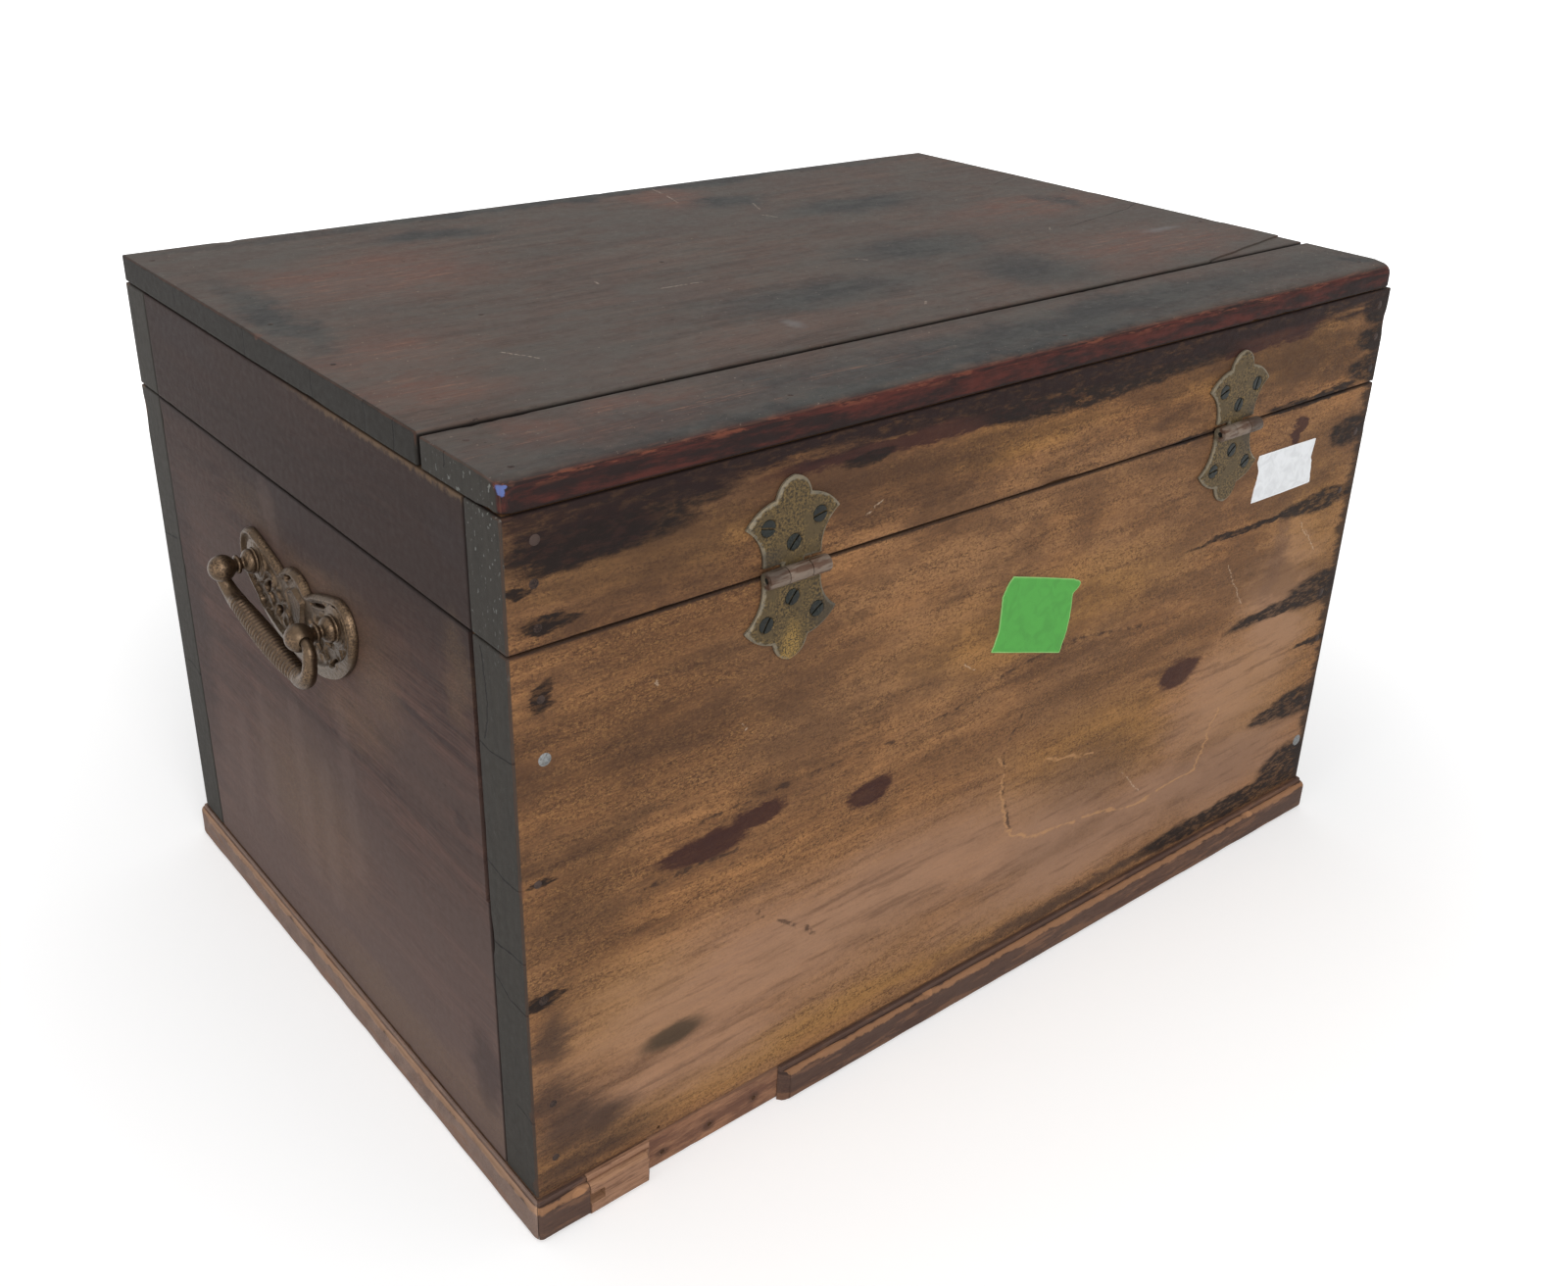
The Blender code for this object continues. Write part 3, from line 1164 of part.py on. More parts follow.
def keyhole_escutcheon():
    outline = []
    for step in range(ESCUTCHEON_STEPS):
        angle = 2 * math.pi * step / ESCUTCHEON_STEPS
        outline.append((ESCUTCHEON_HALF_WIDTH * math.cos(angle), ESCUTCHEON_HALF_HEIGHT * math.sin(angle)))
    plate = outline_object("keyhole_escutcheon", [outline], ESCUTCHEON_THICKNESS, ESCUTCHEON_EDGE)
    plate.rotation_euler = (math.radians(90), 0, 0)
    plate.location = (0, FRONT_Y - SEAT_GAP - ESCUTCHEON_THICKNESS / 2, KEYHOLE_Z - KEYHOLE_SLOT_LENGTH / 2)
    plate = add_object("keyhole_escutcheon", baked_mesh(plate))
    start_y = FRONT_Y - ESCUTCHEON_THICKNESS - SEAT_GAP - CUT_OVERRUN
    tools = keyhole_cutters("escutcheon_keyhole", start_y, ESCUTCHEON_THICKNESS + SEAT_GAP + 2 * CUT_OVERRUN)
    for tool in tools:
        apply_boolean(plate, tool, "DIFFERENCE")
    plate = add_object("keyhole_escutcheon", give(baked_mesh(plate, tools), HINGE_BRASS))
    place(plate, case_marker, (0, 0, 0))


lock_mortise()
lock_case()
lock_strike()
lock_bolt()
keyhole_escutcheon()
bpy.context.view_layer.update()
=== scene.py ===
import math

import bmesh
import bpy
import numpy as np
from mathutils import Euler, Matrix, Vector, noise


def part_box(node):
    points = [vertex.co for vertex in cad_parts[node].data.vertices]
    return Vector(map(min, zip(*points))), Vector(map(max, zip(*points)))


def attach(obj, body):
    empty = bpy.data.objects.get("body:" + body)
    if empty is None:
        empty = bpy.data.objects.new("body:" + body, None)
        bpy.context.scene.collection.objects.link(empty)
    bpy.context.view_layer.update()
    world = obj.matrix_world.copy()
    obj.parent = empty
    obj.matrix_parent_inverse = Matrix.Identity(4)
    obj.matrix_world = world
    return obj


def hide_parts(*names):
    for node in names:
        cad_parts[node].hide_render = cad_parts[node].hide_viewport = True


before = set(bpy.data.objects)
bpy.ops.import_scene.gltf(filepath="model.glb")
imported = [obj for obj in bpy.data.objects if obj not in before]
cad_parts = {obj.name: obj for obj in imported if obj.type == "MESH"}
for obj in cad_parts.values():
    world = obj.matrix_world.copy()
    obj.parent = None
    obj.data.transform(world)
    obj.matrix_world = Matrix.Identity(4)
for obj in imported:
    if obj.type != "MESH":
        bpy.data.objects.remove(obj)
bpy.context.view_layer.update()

scene = bpy.context.scene
MM = 0.001

# Bottom board: one softwood board under the whole case, nailed up into the walls. It is
# stained like the ends, and bare and pierced by nail holes where the back strip came off.
BOARD_SPACING = 4.0 * MM
ARRIS_BAND = 8.0 * MM
ARRIS_ROWS = 8
ARRIS_GROWTH = 1.7
CHIP_SIZE = 45.0
CHIP_START, CHIP_END = 0.6, 0.74
HOLLOW_SIZE = 14.0


class Wire:
    """The value on a node's output. A sum of wires and numbers places the nodes that work it out."""

    def __init__(self, socket):
        self.socket, self.tree = socket, socket.id_data
        self.is_vector = socket.type in ("VECTOR", "RGBA")

    def __add__(self, other):
        return maths("ADD", self, other)

    def __radd__(self, other):
        return maths("ADD", other, self)

    def __sub__(self, other):
        return maths("SUBTRACT", self, other)

    def __rsub__(self, other):
        return maths("SUBTRACT", other, self)

    def __mul__(self, other):
        return maths("MULTIPLY", self, other)

    def __truediv__(self, other):
        return maths("DIVIDE", self, other)

    def __rtruediv__(self, other):
        return maths("DIVIDE", other, self)


class Placed:
    """A placed node's outputs as wires, by name or number."""

    def __init__(self, node):
        self.node = node

    def __getitem__(self, output):
        return Wire(self.node.outputs[output])


def set_inputs(node, values):
    """Gives a node's inputs their numbers, or links wires to them."""
    for name, value in values.items():
        if isinstance(value, Wire):
            node.id_data.links.new(value.socket, node.inputs[name])
        else:
            node.inputs[name].default_value = value


def add_node(tree, kind, values=None, **settings):
    """Places a node, makes its settings, then sets or links its inputs."""
    node = tree.nodes.new(kind)
    for setting, value in settings.items():
        setattr(node, setting, value)
    set_inputs(node, values or {})
    return Placed(node)


def tree_of(values):
    return next(value.tree for value in values if isinstance(value, Wire))


def maths(operation, *values, clamp=False):
    """A maths node, or a vector one where a value is a vector."""
    vectors = [value.is_vector if isinstance(value, Wire) else isinstance(value, (tuple, list))
               for value in values]
    if not any(vectors):
        inputs = dict(enumerate(values))
        return add_node(tree_of(values), "ShaderNodeMath", inputs, operation=operation, use_clamp=clamp)[0]
    slots = (0, 1, 2)
    if operation == "MULTIPLY" and not all(vectors):
        operation, slots = "SCALE", (0, 3)
    node = add_node(tree_of(values), "ShaderNodeVectorMath", dict(zip(slots, values)), operation=operation)
    return node["Value" if operation in ("LENGTH", "DOT_PRODUCT") else "Vector"]


def split(vector):
    return add_node(vector.tree, "ShaderNodeSeparateXYZ", {0: vector})


def joined(*values):
    return add_node(tree_of(values), "ShaderNodeCombineXYZ", dict(enumerate(values)))[0]


def cloud(place, size, detail=2.0, roughness=0.5, distortion=0.0, output="Fac"):
    """A soft noise from 0 to 1. Size is in repeats for each unit of the place."""
    values = {"Vector": place, "Scale": size, "Detail": detail, "Roughness": roughness,
              "Distortion": distortion}
    return add_node(place.tree, "ShaderNodeTexNoise", values)[output]


def ramp(value, start, end, low=0.0, high=1.0):
    """Rises smoothly from low at the start value to high at the end value."""
    values = {"Value": value, "From Min": start, "From Max": end, "To Min": low, "To Max": high}
    return add_node(value.tree, "ShaderNodeMapRange", values, interpolation_type="SMOOTHSTEP")["Result"]


def new_group(name, kind, inputs, outputs):
    """An empty node group, its named inputs as wires, and its output node."""
    group = bpy.data.node_groups.new(name, kind)
    for socket_name, socket_kind, default in inputs:
        socket = group.interface.new_socket(socket_name, in_out="INPUT", socket_type=socket_kind)
        if default is not None:
            socket.default_value = default
    for socket_name, socket_kind in outputs:
        group.interface.new_socket(socket_name, in_out="OUTPUT", socket_type=socket_kind)
    return group, add_node(group, "NodeGroupInput"), group.nodes.new("NodeGroupOutput")


def end_tree(end, geometry, material):
    """Ends a Geometry Nodes tree with real faces in their material."""
    real = add_node(geometry.tree, "GeometryNodeRealizeInstances", {0: geometry})[0]
    dressed = add_node(real.tree, "GeometryNodeSetMaterial", {"Geometry": real, "Material": material})[0]
    set_inputs(end, {0: dressed})


def keep_number(geometry, label, value):
    """Stores a number on every point of the geometry."""
    values = {"Geometry": geometry, "Name": label, "Value": value}
    return add_node(geometry.tree, "GeometryNodeStoreNamedAttribute", values, data_type="FLOAT",
                    domain="POINT")[0]


FLOAT, VECTOR = "NodeSocketFloat", "NodeSocketVector"
GEOMETRY, MATERIAL = "NodeSocketGeometry", "NodeSocketMaterial"


def make_worn_board_tree():
    """A sawn board between two corners: its arrises are rounded and chipped, its faces a little hollow."""
    tree, given, end = new_group("worn_board", "GeometryNodeTree",
                                 [("Low", VECTOR, None), ("High", VECTOR, None),
                                  ("Arris", VECTOR, (MM, MM, MM)), ("Back Arris", FLOAT, 0.0),
                                  ("Chips", FLOAT, 2 * MM), ("Hollow", FLOAT, 0.3 * MM),
                                  ("Seed", FLOAT, 0.0), ("Wood", MATERIAL, None)], [("Board", GEOMETRY)])
    half = (given["High"] - given["Low"]) * 0.5
    centre = (given["High"] + given["Low"]) * 0.5
    band = maths("MINIMUM", half * 0.85, (ARRIS_BAND,) * 3)
    field = half - band
    field_cells = maths("CEIL", field * (1 / BOARD_SPACING))
    side_cells = field_cells + (ARRIS_ROWS,) * 3
    cells = side_cells * 2.0
    counts = split(cells + (1.01,) * 3)
    blank = add_node(tree, "GeometryNodeMeshCube",
                     {"Size": (1, 1, 1), "Vertices X": counts[0], "Vertices Y": counts[1],
                      "Vertices Z": counts[2]})
    unit_place = add_node(tree, "GeometryNodeInputPosition")[0]
    index = (unit_place + (0.5,) * 3) * cells
    from_side = maths("MINIMUM", index, cells - index)
    row_share = maths("MINIMUM", from_side, (ARRIS_ROWS,) * 3) * (1 / ARRIS_ROWS)
    grown = maths("POWER", maths("MAXIMUM", row_share, (0,) * 3), (ARRIS_GROWTH,) * 3)
    inner_share = maths("MAXIMUM", from_side - (ARRIS_ROWS,) * 3, (0,) * 3)
    inner_place = inner_share * field / field_cells
    depth = grown * band + inner_place
    sharp = maths("SIGN", unit_place) * (half - depth)
    place = sharp + centre
    seeded = place + joined(given["Seed"], given["Seed"], given["Seed"])
    chip = ramp(cloud(seeded, CHIP_SIZE, 3.0), CHIP_START, CHIP_END)
    chipped = chip * given["Chips"]
    share = split(sharp / half)
    rounding = ramp(share[1], 0.5, 0.9) * given["Back Arris"]
    beside = chipped + rounding
    above = chipped + rounding * ramp(share[2], -0.2, 0.2)
    radius = given["Arris"] + joined(beside, beside, above)
    radius = maths("MINIMUM", radius, half * 0.97)
    core = half - radius
    inner = maths("MAXIMUM", maths("MINIMUM", sharp, core), core * -1.0)
    away = maths("NORMALIZE", (sharp - inner) / radius)
    rounded = inner + away * radius
    hollow = cloud(seeded, HOLLOW_SIZE, 2.0) * given["Hollow"]
    sunk = rounded - away * hollow
    # How far each point lies from its nearest arris, kept for the edge wear
    deep = split(depth)
    least, most = maths("MINIMUM", deep[0], deep[1]), maths("MAXIMUM", deep[0], deep[1])
    to_arris = maths("MAXIMUM", least, maths("MINIMUM", most, deep[2]))
    kept = keep_number(keep_number(blank["Mesh"], "to_arris", to_arris), "chipped", chip)
    shaped = add_node(tree, "GeometryNodeSetPosition", {"Geometry": kept, "Position": sunk + centre})[0]
    smooth = add_node(tree, "GeometryNodeSetShadeSmooth", {"Geometry": shaped})[0]
    end_tree(end, smooth, given["Wood"])
    return tree


def tint(red, green, blue):
    """A colour written as it looks, 0 to 255, in the linear numbers that a shader takes."""
    shares = [value / 255 for value in (red, green, blue)]
    return (*[share / 12.92 if share <= 0.04045 else ((share + 0.055) / 1.055) ** 2.4 for share in shares],
            1.0)


def blend(share, first, second):
    return add_node(share.tree, "ShaderNodeMix", {0: share, 6: first, 7: second}, data_type="RGBA")[2]


def place_group(group, values):
    return add_node(values["Place"].tree, "ShaderNodeGroup", values, node_tree=group)


def make_grain_group():
    """Wood with its grain along X, in millimetres: broad rings, fine fibres and short open pores."""
    tree, given, end = new_group("wood_grain", "ShaderNodeTree",
                                 [("Place", VECTOR, None), ("Ring Width", FLOAT, 9.0), ("Seed", FLOAT, 0.0)],
                                 [("Rings", FLOAT), ("Fibres", FLOAT), ("Pores", FLOAT)])
    place = given["Place"] + joined(given["Seed"], given["Seed"], given["Seed"])
    wander = cloud(place * (0.004, 0.012, 0.012), 1.0, 2.0)
    drift = (wander - 0.5) * 30.0
    bent = place + joined(0.0, drift, drift)
    ring_place = bent * (0.05, 1, 1) / joined(given["Ring Width"], given["Ring Width"], given["Ring Width"])
    rings = cloud(ring_place, 1.0, 4.0, 0.6)
    fibres = cloud(bent * (0.035, 1.3, 1.3), 1.0, 3.0, 0.6)
    pores = cloud(place * (0.16, 2.4, 2.4), 1.0, 1.0)
    set_inputs(end, {"Rings": rings, "Fibres": fibres, "Pores": ramp(pores, 0.6, 0.7)})
    return tree


def make_flake_group():
    """Old varnish that has broken into small flakes: each flake's own tone, and the crack round it."""
    tree, given, end = new_group("varnish_flakes", "ShaderNodeTree",
                                 [("Place", VECTOR, None), ("Flake", FLOAT, 1.0)],
                                 [("Tone", FLOAT), ("Crack", FLOAT)])
    shaken = given["Place"] + cloud(given["Place"], 0.7, output="Color") * 0.8
    values = {"Vector": shaken, "Scale": 1.0 / given["Flake"]}
    flake = add_node(tree, "ShaderNodeTexVoronoi", values, feature="F1")
    border = add_node(tree, "ShaderNodeTexVoronoi", values, feature="DISTANCE_TO_EDGE")
    set_inputs(end, {"Tone": split(flake["Color"])[0], "Crack": ramp(border["Distance"], 0.16, 0.02)})
    return tree


def make_spot_group():
    """How far a place lies from a spot's centre, in shares of the spot's reach."""
    tree, given, end = new_group("stain_spot", "ShaderNodeTree",
                                 [("Place", VECTOR, None), ("Centre", VECTOR, None),
                                  ("Reach", VECTOR, (1, 1, 1))], [("Distance", FLOAT)])
    away = (given["Place"] - given["Centre"]) / given["Reach"]
    set_inputs(end, {"Distance": maths("LENGTH", away)})
    return tree


def make_stroke_group():
    """How far a place lies from a straight stroke, in millimetres."""
    tree, given, end = new_group("stroke", "ShaderNodeTree",
                                 [("Place", VECTOR, None), ("Start", VECTOR, None),
                                  ("Run", VECTOR, (1, 0, 0))], [("Distance", FLOAT)])
    away = given["Place"] - given["Start"]
    run_length = maths("DOT_PRODUCT", given["Run"], given["Run"])
    share = maths("DIVIDE", maths("DOT_PRODUCT", away, given["Run"]), run_length, clamp=True)
    beside = away - given["Run"] * share
    set_inputs(end, {"Distance": maths("LENGTH", beside)})
    return tree


def carried(tree, label):
    """A number that the mesh carries on its points, for a shader."""
    return add_node(tree, "ShaderNodeAttribute", attribute_name=label)["Fac"]


def make_wear_group():
    """Where hands and floors have rubbed an arris: 1 at the arris, ragged, fading to 0 at about the width."""
    tree, given, end = new_group("edge_wear", "ShaderNodeTree",
                                 [("Place", VECTOR, None), ("Width", FLOAT, 1.5), ("Ragged", FLOAT, 1.0)],
                                 [("Wear", FLOAT), ("Chip", FLOAT)])
    near, chipped = carried(tree, "to_arris") * (1 / MM), carried(tree, "chipped")
    patchy = cloud(given["Place"], 0.09, 4.0, 0.65)
    reach = given["Width"] * (1.0 + given["Ragged"] * ((patchy - 0.5) * 4.0))
    chip = ramp(near - chipped * 4.0, 0.3, -0.3)
    set_inputs(end, {"Wear": ramp(near - reach, 0.4, -0.4), "Chip": chip * ramp(chipped, 0.1, 0.5)})
    return tree


grain_group, flake_group = make_grain_group(), make_flake_group()
spot_group, stroke_group, wear_group = make_spot_group(), make_stroke_group(), make_wear_group()

CASE_Y = -1.2
FRONT_Y, BACK_Y = -178.2, 175.8
END_X = 260.0
BOX_HEAD = 328.5


def on_face(place, face_axis, ragged):
    """The place laid flat on a face, shaken by a noise that is drawn out along the grain."""
    shake = cloud(place * (0.025, 0.025, 0.09), 1.0, 6.0, 0.72, output="Color")
    flat = [1.0, 1.0, 1.0]
    flat[face_axis] = 0.0
    return (place + (shake - (0.5,) * 3) * [4 * way for way in ragged]) * flat


def raised(pair, face_axis, filler):
    """Two numbers on a face as three, with the filler where the face looks."""
    full = list(pair)
    full.insert(face_axis, filler)
    return full


def stains(place, spots, face_axis, ragged=(9.0, 9.0, 5.0), soft=(1.15, 0.75)):
    """One mask for many stains on a face: each is a centre's two places and two reaches, in millimetres."""
    flat = on_face(place, face_axis, ragged)
    nearest = 10.0
    for spot in spots:
        values = {"Place": flat, "Centre": raised(spot[:2], face_axis, 0.0),
                  "Reach": raised(spot[2:], face_axis, 1.0)}
        nearest = maths("MINIMUM", nearest, place_group(spot_group, values)["Distance"])
    return ramp(nearest, *soft)


def strokes(place, runs, face_axis, width, ragged=(0.6, 0.6, 0.6), soft=0.4):
    """One mask for scratches, cracks and chalk: each run is a list of places on the face."""
    flat = on_face(place, face_axis, ragged)
    nearest = 100.0
    for run in runs:
        for start, end in zip(run, run[1:]):
            values = {"Place": flat, "Start": raised(start, face_axis, 0.0),
                      "Run": raised((end[0] - start[0], end[1] - start[1]), face_axis, 0.0)}
            nearest = maths("MINIMUM", nearest, place_group(stroke_group, values)["Distance"])
    return ramp(nearest, width, width * soft)


def new_finish(name):
    """A material, its shader, and the place on the object in millimetres."""
    material = bpy.data.materials.new(name)
    material.use_nodes = True
    tree = material.node_tree
    place = add_node(tree, "ShaderNodeTexCoord")["Object"] * (1 / MM)
    return material, tree.nodes["Principled BSDF"], place


def bump(height, strength, depth):
    """Relief from a height, at most about this many millimetres deep."""
    values = {"Strength": strength, "Distance": depth * MM, "Height": height}
    return add_node(height.tree, "ShaderNodeBump", values)[0]


def case_depths(place):
    """How deep a place lies behind the case's ends, its long sides and its top."""
    x, y, z = split(place)
    long_side = maths("MINIMUM", BACK_Y - y, y - FRONT_Y)
    return END_X - maths("ABSOLUTE", x), long_side, BOX_HEAD - z


KERF_Z, JOINT_Y, BOARD_UNDERSIDE = 264.5, (151.7, -154.1), 316.0


def seam_lines(place):
    """Dark lines along the saw kerf, under the top boards and at the joints at the corners."""
    _, y, z = split(place)
    across = [maths("ABSOLUTE", z - level) for level in (KERF_Z, BOARD_UNDERSIDE)]
    on_top = ramp(z, BOARD_UNDERSIDE, BOARD_UNDERSIDE + 1.0, 0.0, 9.0)
    across += [maths("ABSOLUTE", y - level) + on_top for level in JOINT_Y]
    nearest = across[0]
    for other in across[1:]:
        nearest = maths("MINIMUM", nearest, other)
    return ramp(nearest, 1.5, 0.5)


RAW_WOOD = (tint(150, 112, 76), tint(104, 74, 50))
AGED_WOOD = tint(84, 62, 46)
END_GRAIN = (tint(64, 60, 55), tint(45, 43, 40))
CORNER_START, CORNER_END = 6.0, 4.0


def dressed_wood(name, tones, layers=None, turned_grain=False, worn=tint(112, 86, 68), worn_share=0.6,
                 wear_width=0.8, anywhere=False, end_grain=1.0, end_cracks=(), line_darkening=0.8, finish_depth=2.2,
                 rough=0.55, relief=0.35, seed=0.0):
    """Old varnished wood: grain, its own stains, rubbed outer arrises, dark end grain, bare inside."""
    material, surface, place = new_finish(name)
    x, y, z = split(place)
    along = joined(y, x, z) if turned_grain else place
    grain = place_group(grain_group, {"Place": along, "Seed": seed})
    tone = grain["Rings"] * 0.55 + grain["Fibres"] * 0.45
    broad = cloud(place * (0.008, 0.008, 0.02), 1.0, 4.0, 0.6)
    colour = blend(ramp(tone, 0.36, 0.64), tones[0], tones[1])
    colour = blend(ramp(broad, 0.38, 0.66), colour, tones[2])
    colour = blend(grain["Pores"] * 0.5, colour, tones[3])
    height = grain["Fibres"] * 0.5 - grain["Pores"] * 0.6
    if layers:
        colour, height = layers(place, colour, height, tone)
    ends, sides, head = case_depths(place)
    near_faces = [ramp(depth, CORNER_START, CORNER_END) for depth in (ends, sides, head)]
    corner = maths("SUBTRACT", maths("ADD", *near_faces[:2]) + near_faces[2], 1.0, clamp=True)
    wear = place_group(wear_group, {"Place": place, "Width": wear_width})
    colour = blend(seam_lines(place) * line_darkening, colour, tint(32, 25, 23))
    rubbed = maths("MAXIMUM", wear["Wear"] * 0.7, wear["Chip"])
    if not anywhere:
        rubbed = rubbed * corner
    dull = blend(cloud(place * (1, 0.9, 0.12), 0.35, 4.0, 0.6), *END_GRAIN)
    splash = ramp(cloud(place * (1, 1, 0.6), 0.55, 2.0, 0.6), 0.64, 0.68)
    splash = splash * (ramp(z, 240.0, 300.0, 0.05, 0.6) * ramp(y, 110.0, 150.0, 0.1, 1.0))
    dull = blend(splash, dull, tint(128, 130, 126))
    wide_end = ramp(z, 314.0, 317.0, 0.0, 0.8) * ramp(y, 123.0, 121.0)
    dull = blend(wide_end, dull, tint(34, 31, 28))
    on_ends = ramp(ends, 1.4, 0.7) * end_grain
    if end_cracks:
        crack = strokes(place, end_cracks, 0, 0.55, (1, 1.5, 1.5))
        dull = blend(crack * 0.85, dull, tint(24, 22, 21))
        height = height - crack * on_ends * 2.0
    colour = blend(on_ends, colour, dull)
    colour = blend(rubbed * worn_share, colour, worn)
    bare = blend(tone, *RAW_WOOD)
    aged = cloud(along * (0.008, 0.03, 0.03), 1.0, 6.0, 0.7)
    bare = blend(ramp(aged, 0.4, 0.66, 0.0, 0.6), bare, AGED_WOOD)
    nearest_face = maths("MINIMUM", maths("MINIMUM", ends, sides), head)
    outside = ramp(nearest_face, finish_depth + 0.4, finish_depth - 0.4)
    set_inputs(surface, {"Base Color": blend(outside, bare, colour), "Specular IOR Level": 0.12,
                         "Roughness": rough + cloud(place, 0.3, 3.0) * 0.25,
                         "Normal": bump(height, relief, 0.4)})
    return material


def grown_mesh(name, tree, settings, base=None):
    """Runs a Geometry Nodes tree on a mesh, or on nothing, and keeps its result as a plain mesh."""
    grower = bpy.data.objects.new(name, base or bpy.data.meshes.new(name))
    scene.collection.objects.link(grower)
    growth = grower.modifiers.new("growth", "NODES")
    growth.node_group = tree
    for item in tree.interface.items_tree:
        if item.item_type == "SOCKET" and item.in_out == "INPUT" and (item.name in settings):
            growth[item.identifier] = settings[item.name]
    graph = bpy.context.evaluated_depsgraph_get()
    mesh = bpy.data.meshes.new_from_object(grower.evaluated_get(graph), preserve_all_data_layers=True,
                                           depsgraph=graph)
    bpy.data.objects.remove(grower, do_unlink=True)
    mesh.name = name
    return mesh


def add_piece(name, mesh, body, nodes=()):
    """Puts a finished mesh in the scene, on its body, in place of its CAD nodes."""
    piece = bpy.data.objects.new(name, mesh)
    scene.collection.objects.link(piece)
    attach(piece, body)
    if nodes:
        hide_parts(*nodes)
    return piece


def metres(place):
    """A place written in millimetres, in metres."""
    return tuple(way * MM for way in place)


def as_mesh(shape, name, turn_faces=False):
    """Ends a shape as a mesh, its faces first turned outward where they may not be."""
    if turn_faces:
        bmesh.ops.recalc_face_normals(shape, faces=shape.faces)
    mesh = bpy.data.meshes.new(name)
    shape.to_mesh(mesh)
    shape.free()
    return mesh


def block(low, high):
    """A plain box between two corners, used only as a cutter."""
    shape = bmesh.new()
    size = [b - a for a, b in zip(low, high)]
    middle = [(a + b) / 2 for a, b in zip(low, high)]
    bmesh.ops.create_cube(shape, size=1, matrix=Matrix.Translation(middle) @ Matrix.Diagonal((*size, 1)))
    return as_mesh(shape, "cutter")


def cut_out(mesh, cutters, operation="DIFFERENCE"):
    """The mesh with each cutter taken out of it, or joined to it."""
    work = bpy.data.objects.new("work", mesh)
    scene.collection.objects.link(work)
    tools = []
    for cutter in cutters:
        tool = bpy.data.objects.new("tool", cutter)
        scene.collection.objects.link(tool)
        tools.append(tool)
        step = work.modifiers.new("step", "BOOLEAN")
        step.operation, step.solver, step.object = operation, "EXACT", tool
    graph = bpy.context.evaluated_depsgraph_get()
    made = bpy.data.meshes.new_from_object(work.evaluated_get(graph), preserve_all_data_layers=True,
                                           depsgraph=graph)
    made.name = mesh.name
    for used in (work, *tools):
        bpy.data.objects.remove(used, do_unlink=True)
    return made


# Faces that meet at a larger angle, in degrees, keep a sharp edge between them
SAWN_EDGE, SOFT_EDGE, RIB_EDGE = 50, 60, 80


def finished_mesh(mesh, material, sharp_degrees=40):
    """The mesh in one material, smooth but for its sharper edges."""
    mesh.materials.clear()
    mesh.materials.append(material)
    mesh.shade_smooth()
    mesh.set_sharp_from_angle(angle=math.radians(sharp_degrees))
    return mesh


worn_board_tree = make_worn_board_tree()


def board_mesh(name, wood, arris=(0.8, 0.8, 0.8), back_arris=0.0, chips=1.6, hollow=0.3, seed=0.0):
    """A worn board that fills the CAD node's box."""
    low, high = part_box(name)
    return grown_mesh(name, worn_board_tree,
                      {"Low": tuple(low), "High": tuple(high), "Arris": metres(arris),
                       "Back Arris": back_arris * MM, "Chips": chips * MM, "Hollow": hollow * MM,
                       "Seed": seed, "Wood": wood})


def rods(places, radius, axis, length):
    """Round cutters in one mesh, each centred on its place along the axis."""
    shape = bmesh.new()
    turn = Matrix.Rotation(math.radians(90), 4, "Y" if axis == "x" else "X")
    for place in places:
        bmesh.ops.create_cone(shape, cap_ends=True, segments=16, radius1=radius * MM, radius2=radius * MM,
                              depth=length * MM, matrix=Matrix.Translation(metres(place)) @ turn)
    return as_mesh(shape, "rods")


def room(low, high):
    """A plain box cutter between two corners in millimetres."""
    return block(metres(low), metres(high))


BARE_NAIL_HOLES = ((149.7, 8.2), (174.1, 7.3), (199.0, 6.8))
BARE_HOLE, HOLE_LENGTH = 1.2, 9.0


def bare_strip(place, colour, height, tone):
    """The stained edge that the moulding hid, orange where it is clean, dirty where the glue held."""
    dirty = ramp(cloud(place * (0.03, 1, 0.12), 1.0, 6.0, 0.7), 0.42, 0.62)
    colour = blend(dirty * 0.7, colour, tint(80, 54, 47))
    ringed = stains(place, [(*hole, 3.5, 2.6) for hole in BARE_NAIL_HOLES], 1, (1, 1, 1), (1.4, 0.5))
    colour = blend(ringed * 0.6, colour, tint(52, 36, 32))
    torn = cloud(place * (0.12, 1, 1.2), 1.0, 4.0, 0.7)
    return colour, height + torn * 2.0


BOTTOM_TONES = (tint(150, 110, 84), tint(122, 86, 66), tint(132, 98, 76), tint(74, 50, 40))
bottom_wood = dressed_wood("bottom_board_wood", BOTTOM_TONES, bare_strip, anywhere=True, end_grain=0.3,
                           line_darkening=0.0, seed=3.0)
bottom = board_mesh("bottom_board", bottom_wood, arris=(0.8, 1.8, 1.8), seed=0.3)
bottom = cut_out(bottom, [rods([(x, BACK_Y, z) for x, z in BARE_NAIL_HOLES], BARE_HOLE, "y", HOLE_LENGTH)])
add_piece("bottom_board_worn", finished_mesh(bottom, bottom_wood, SAWN_EDGE), "box", ["bottom_board"])

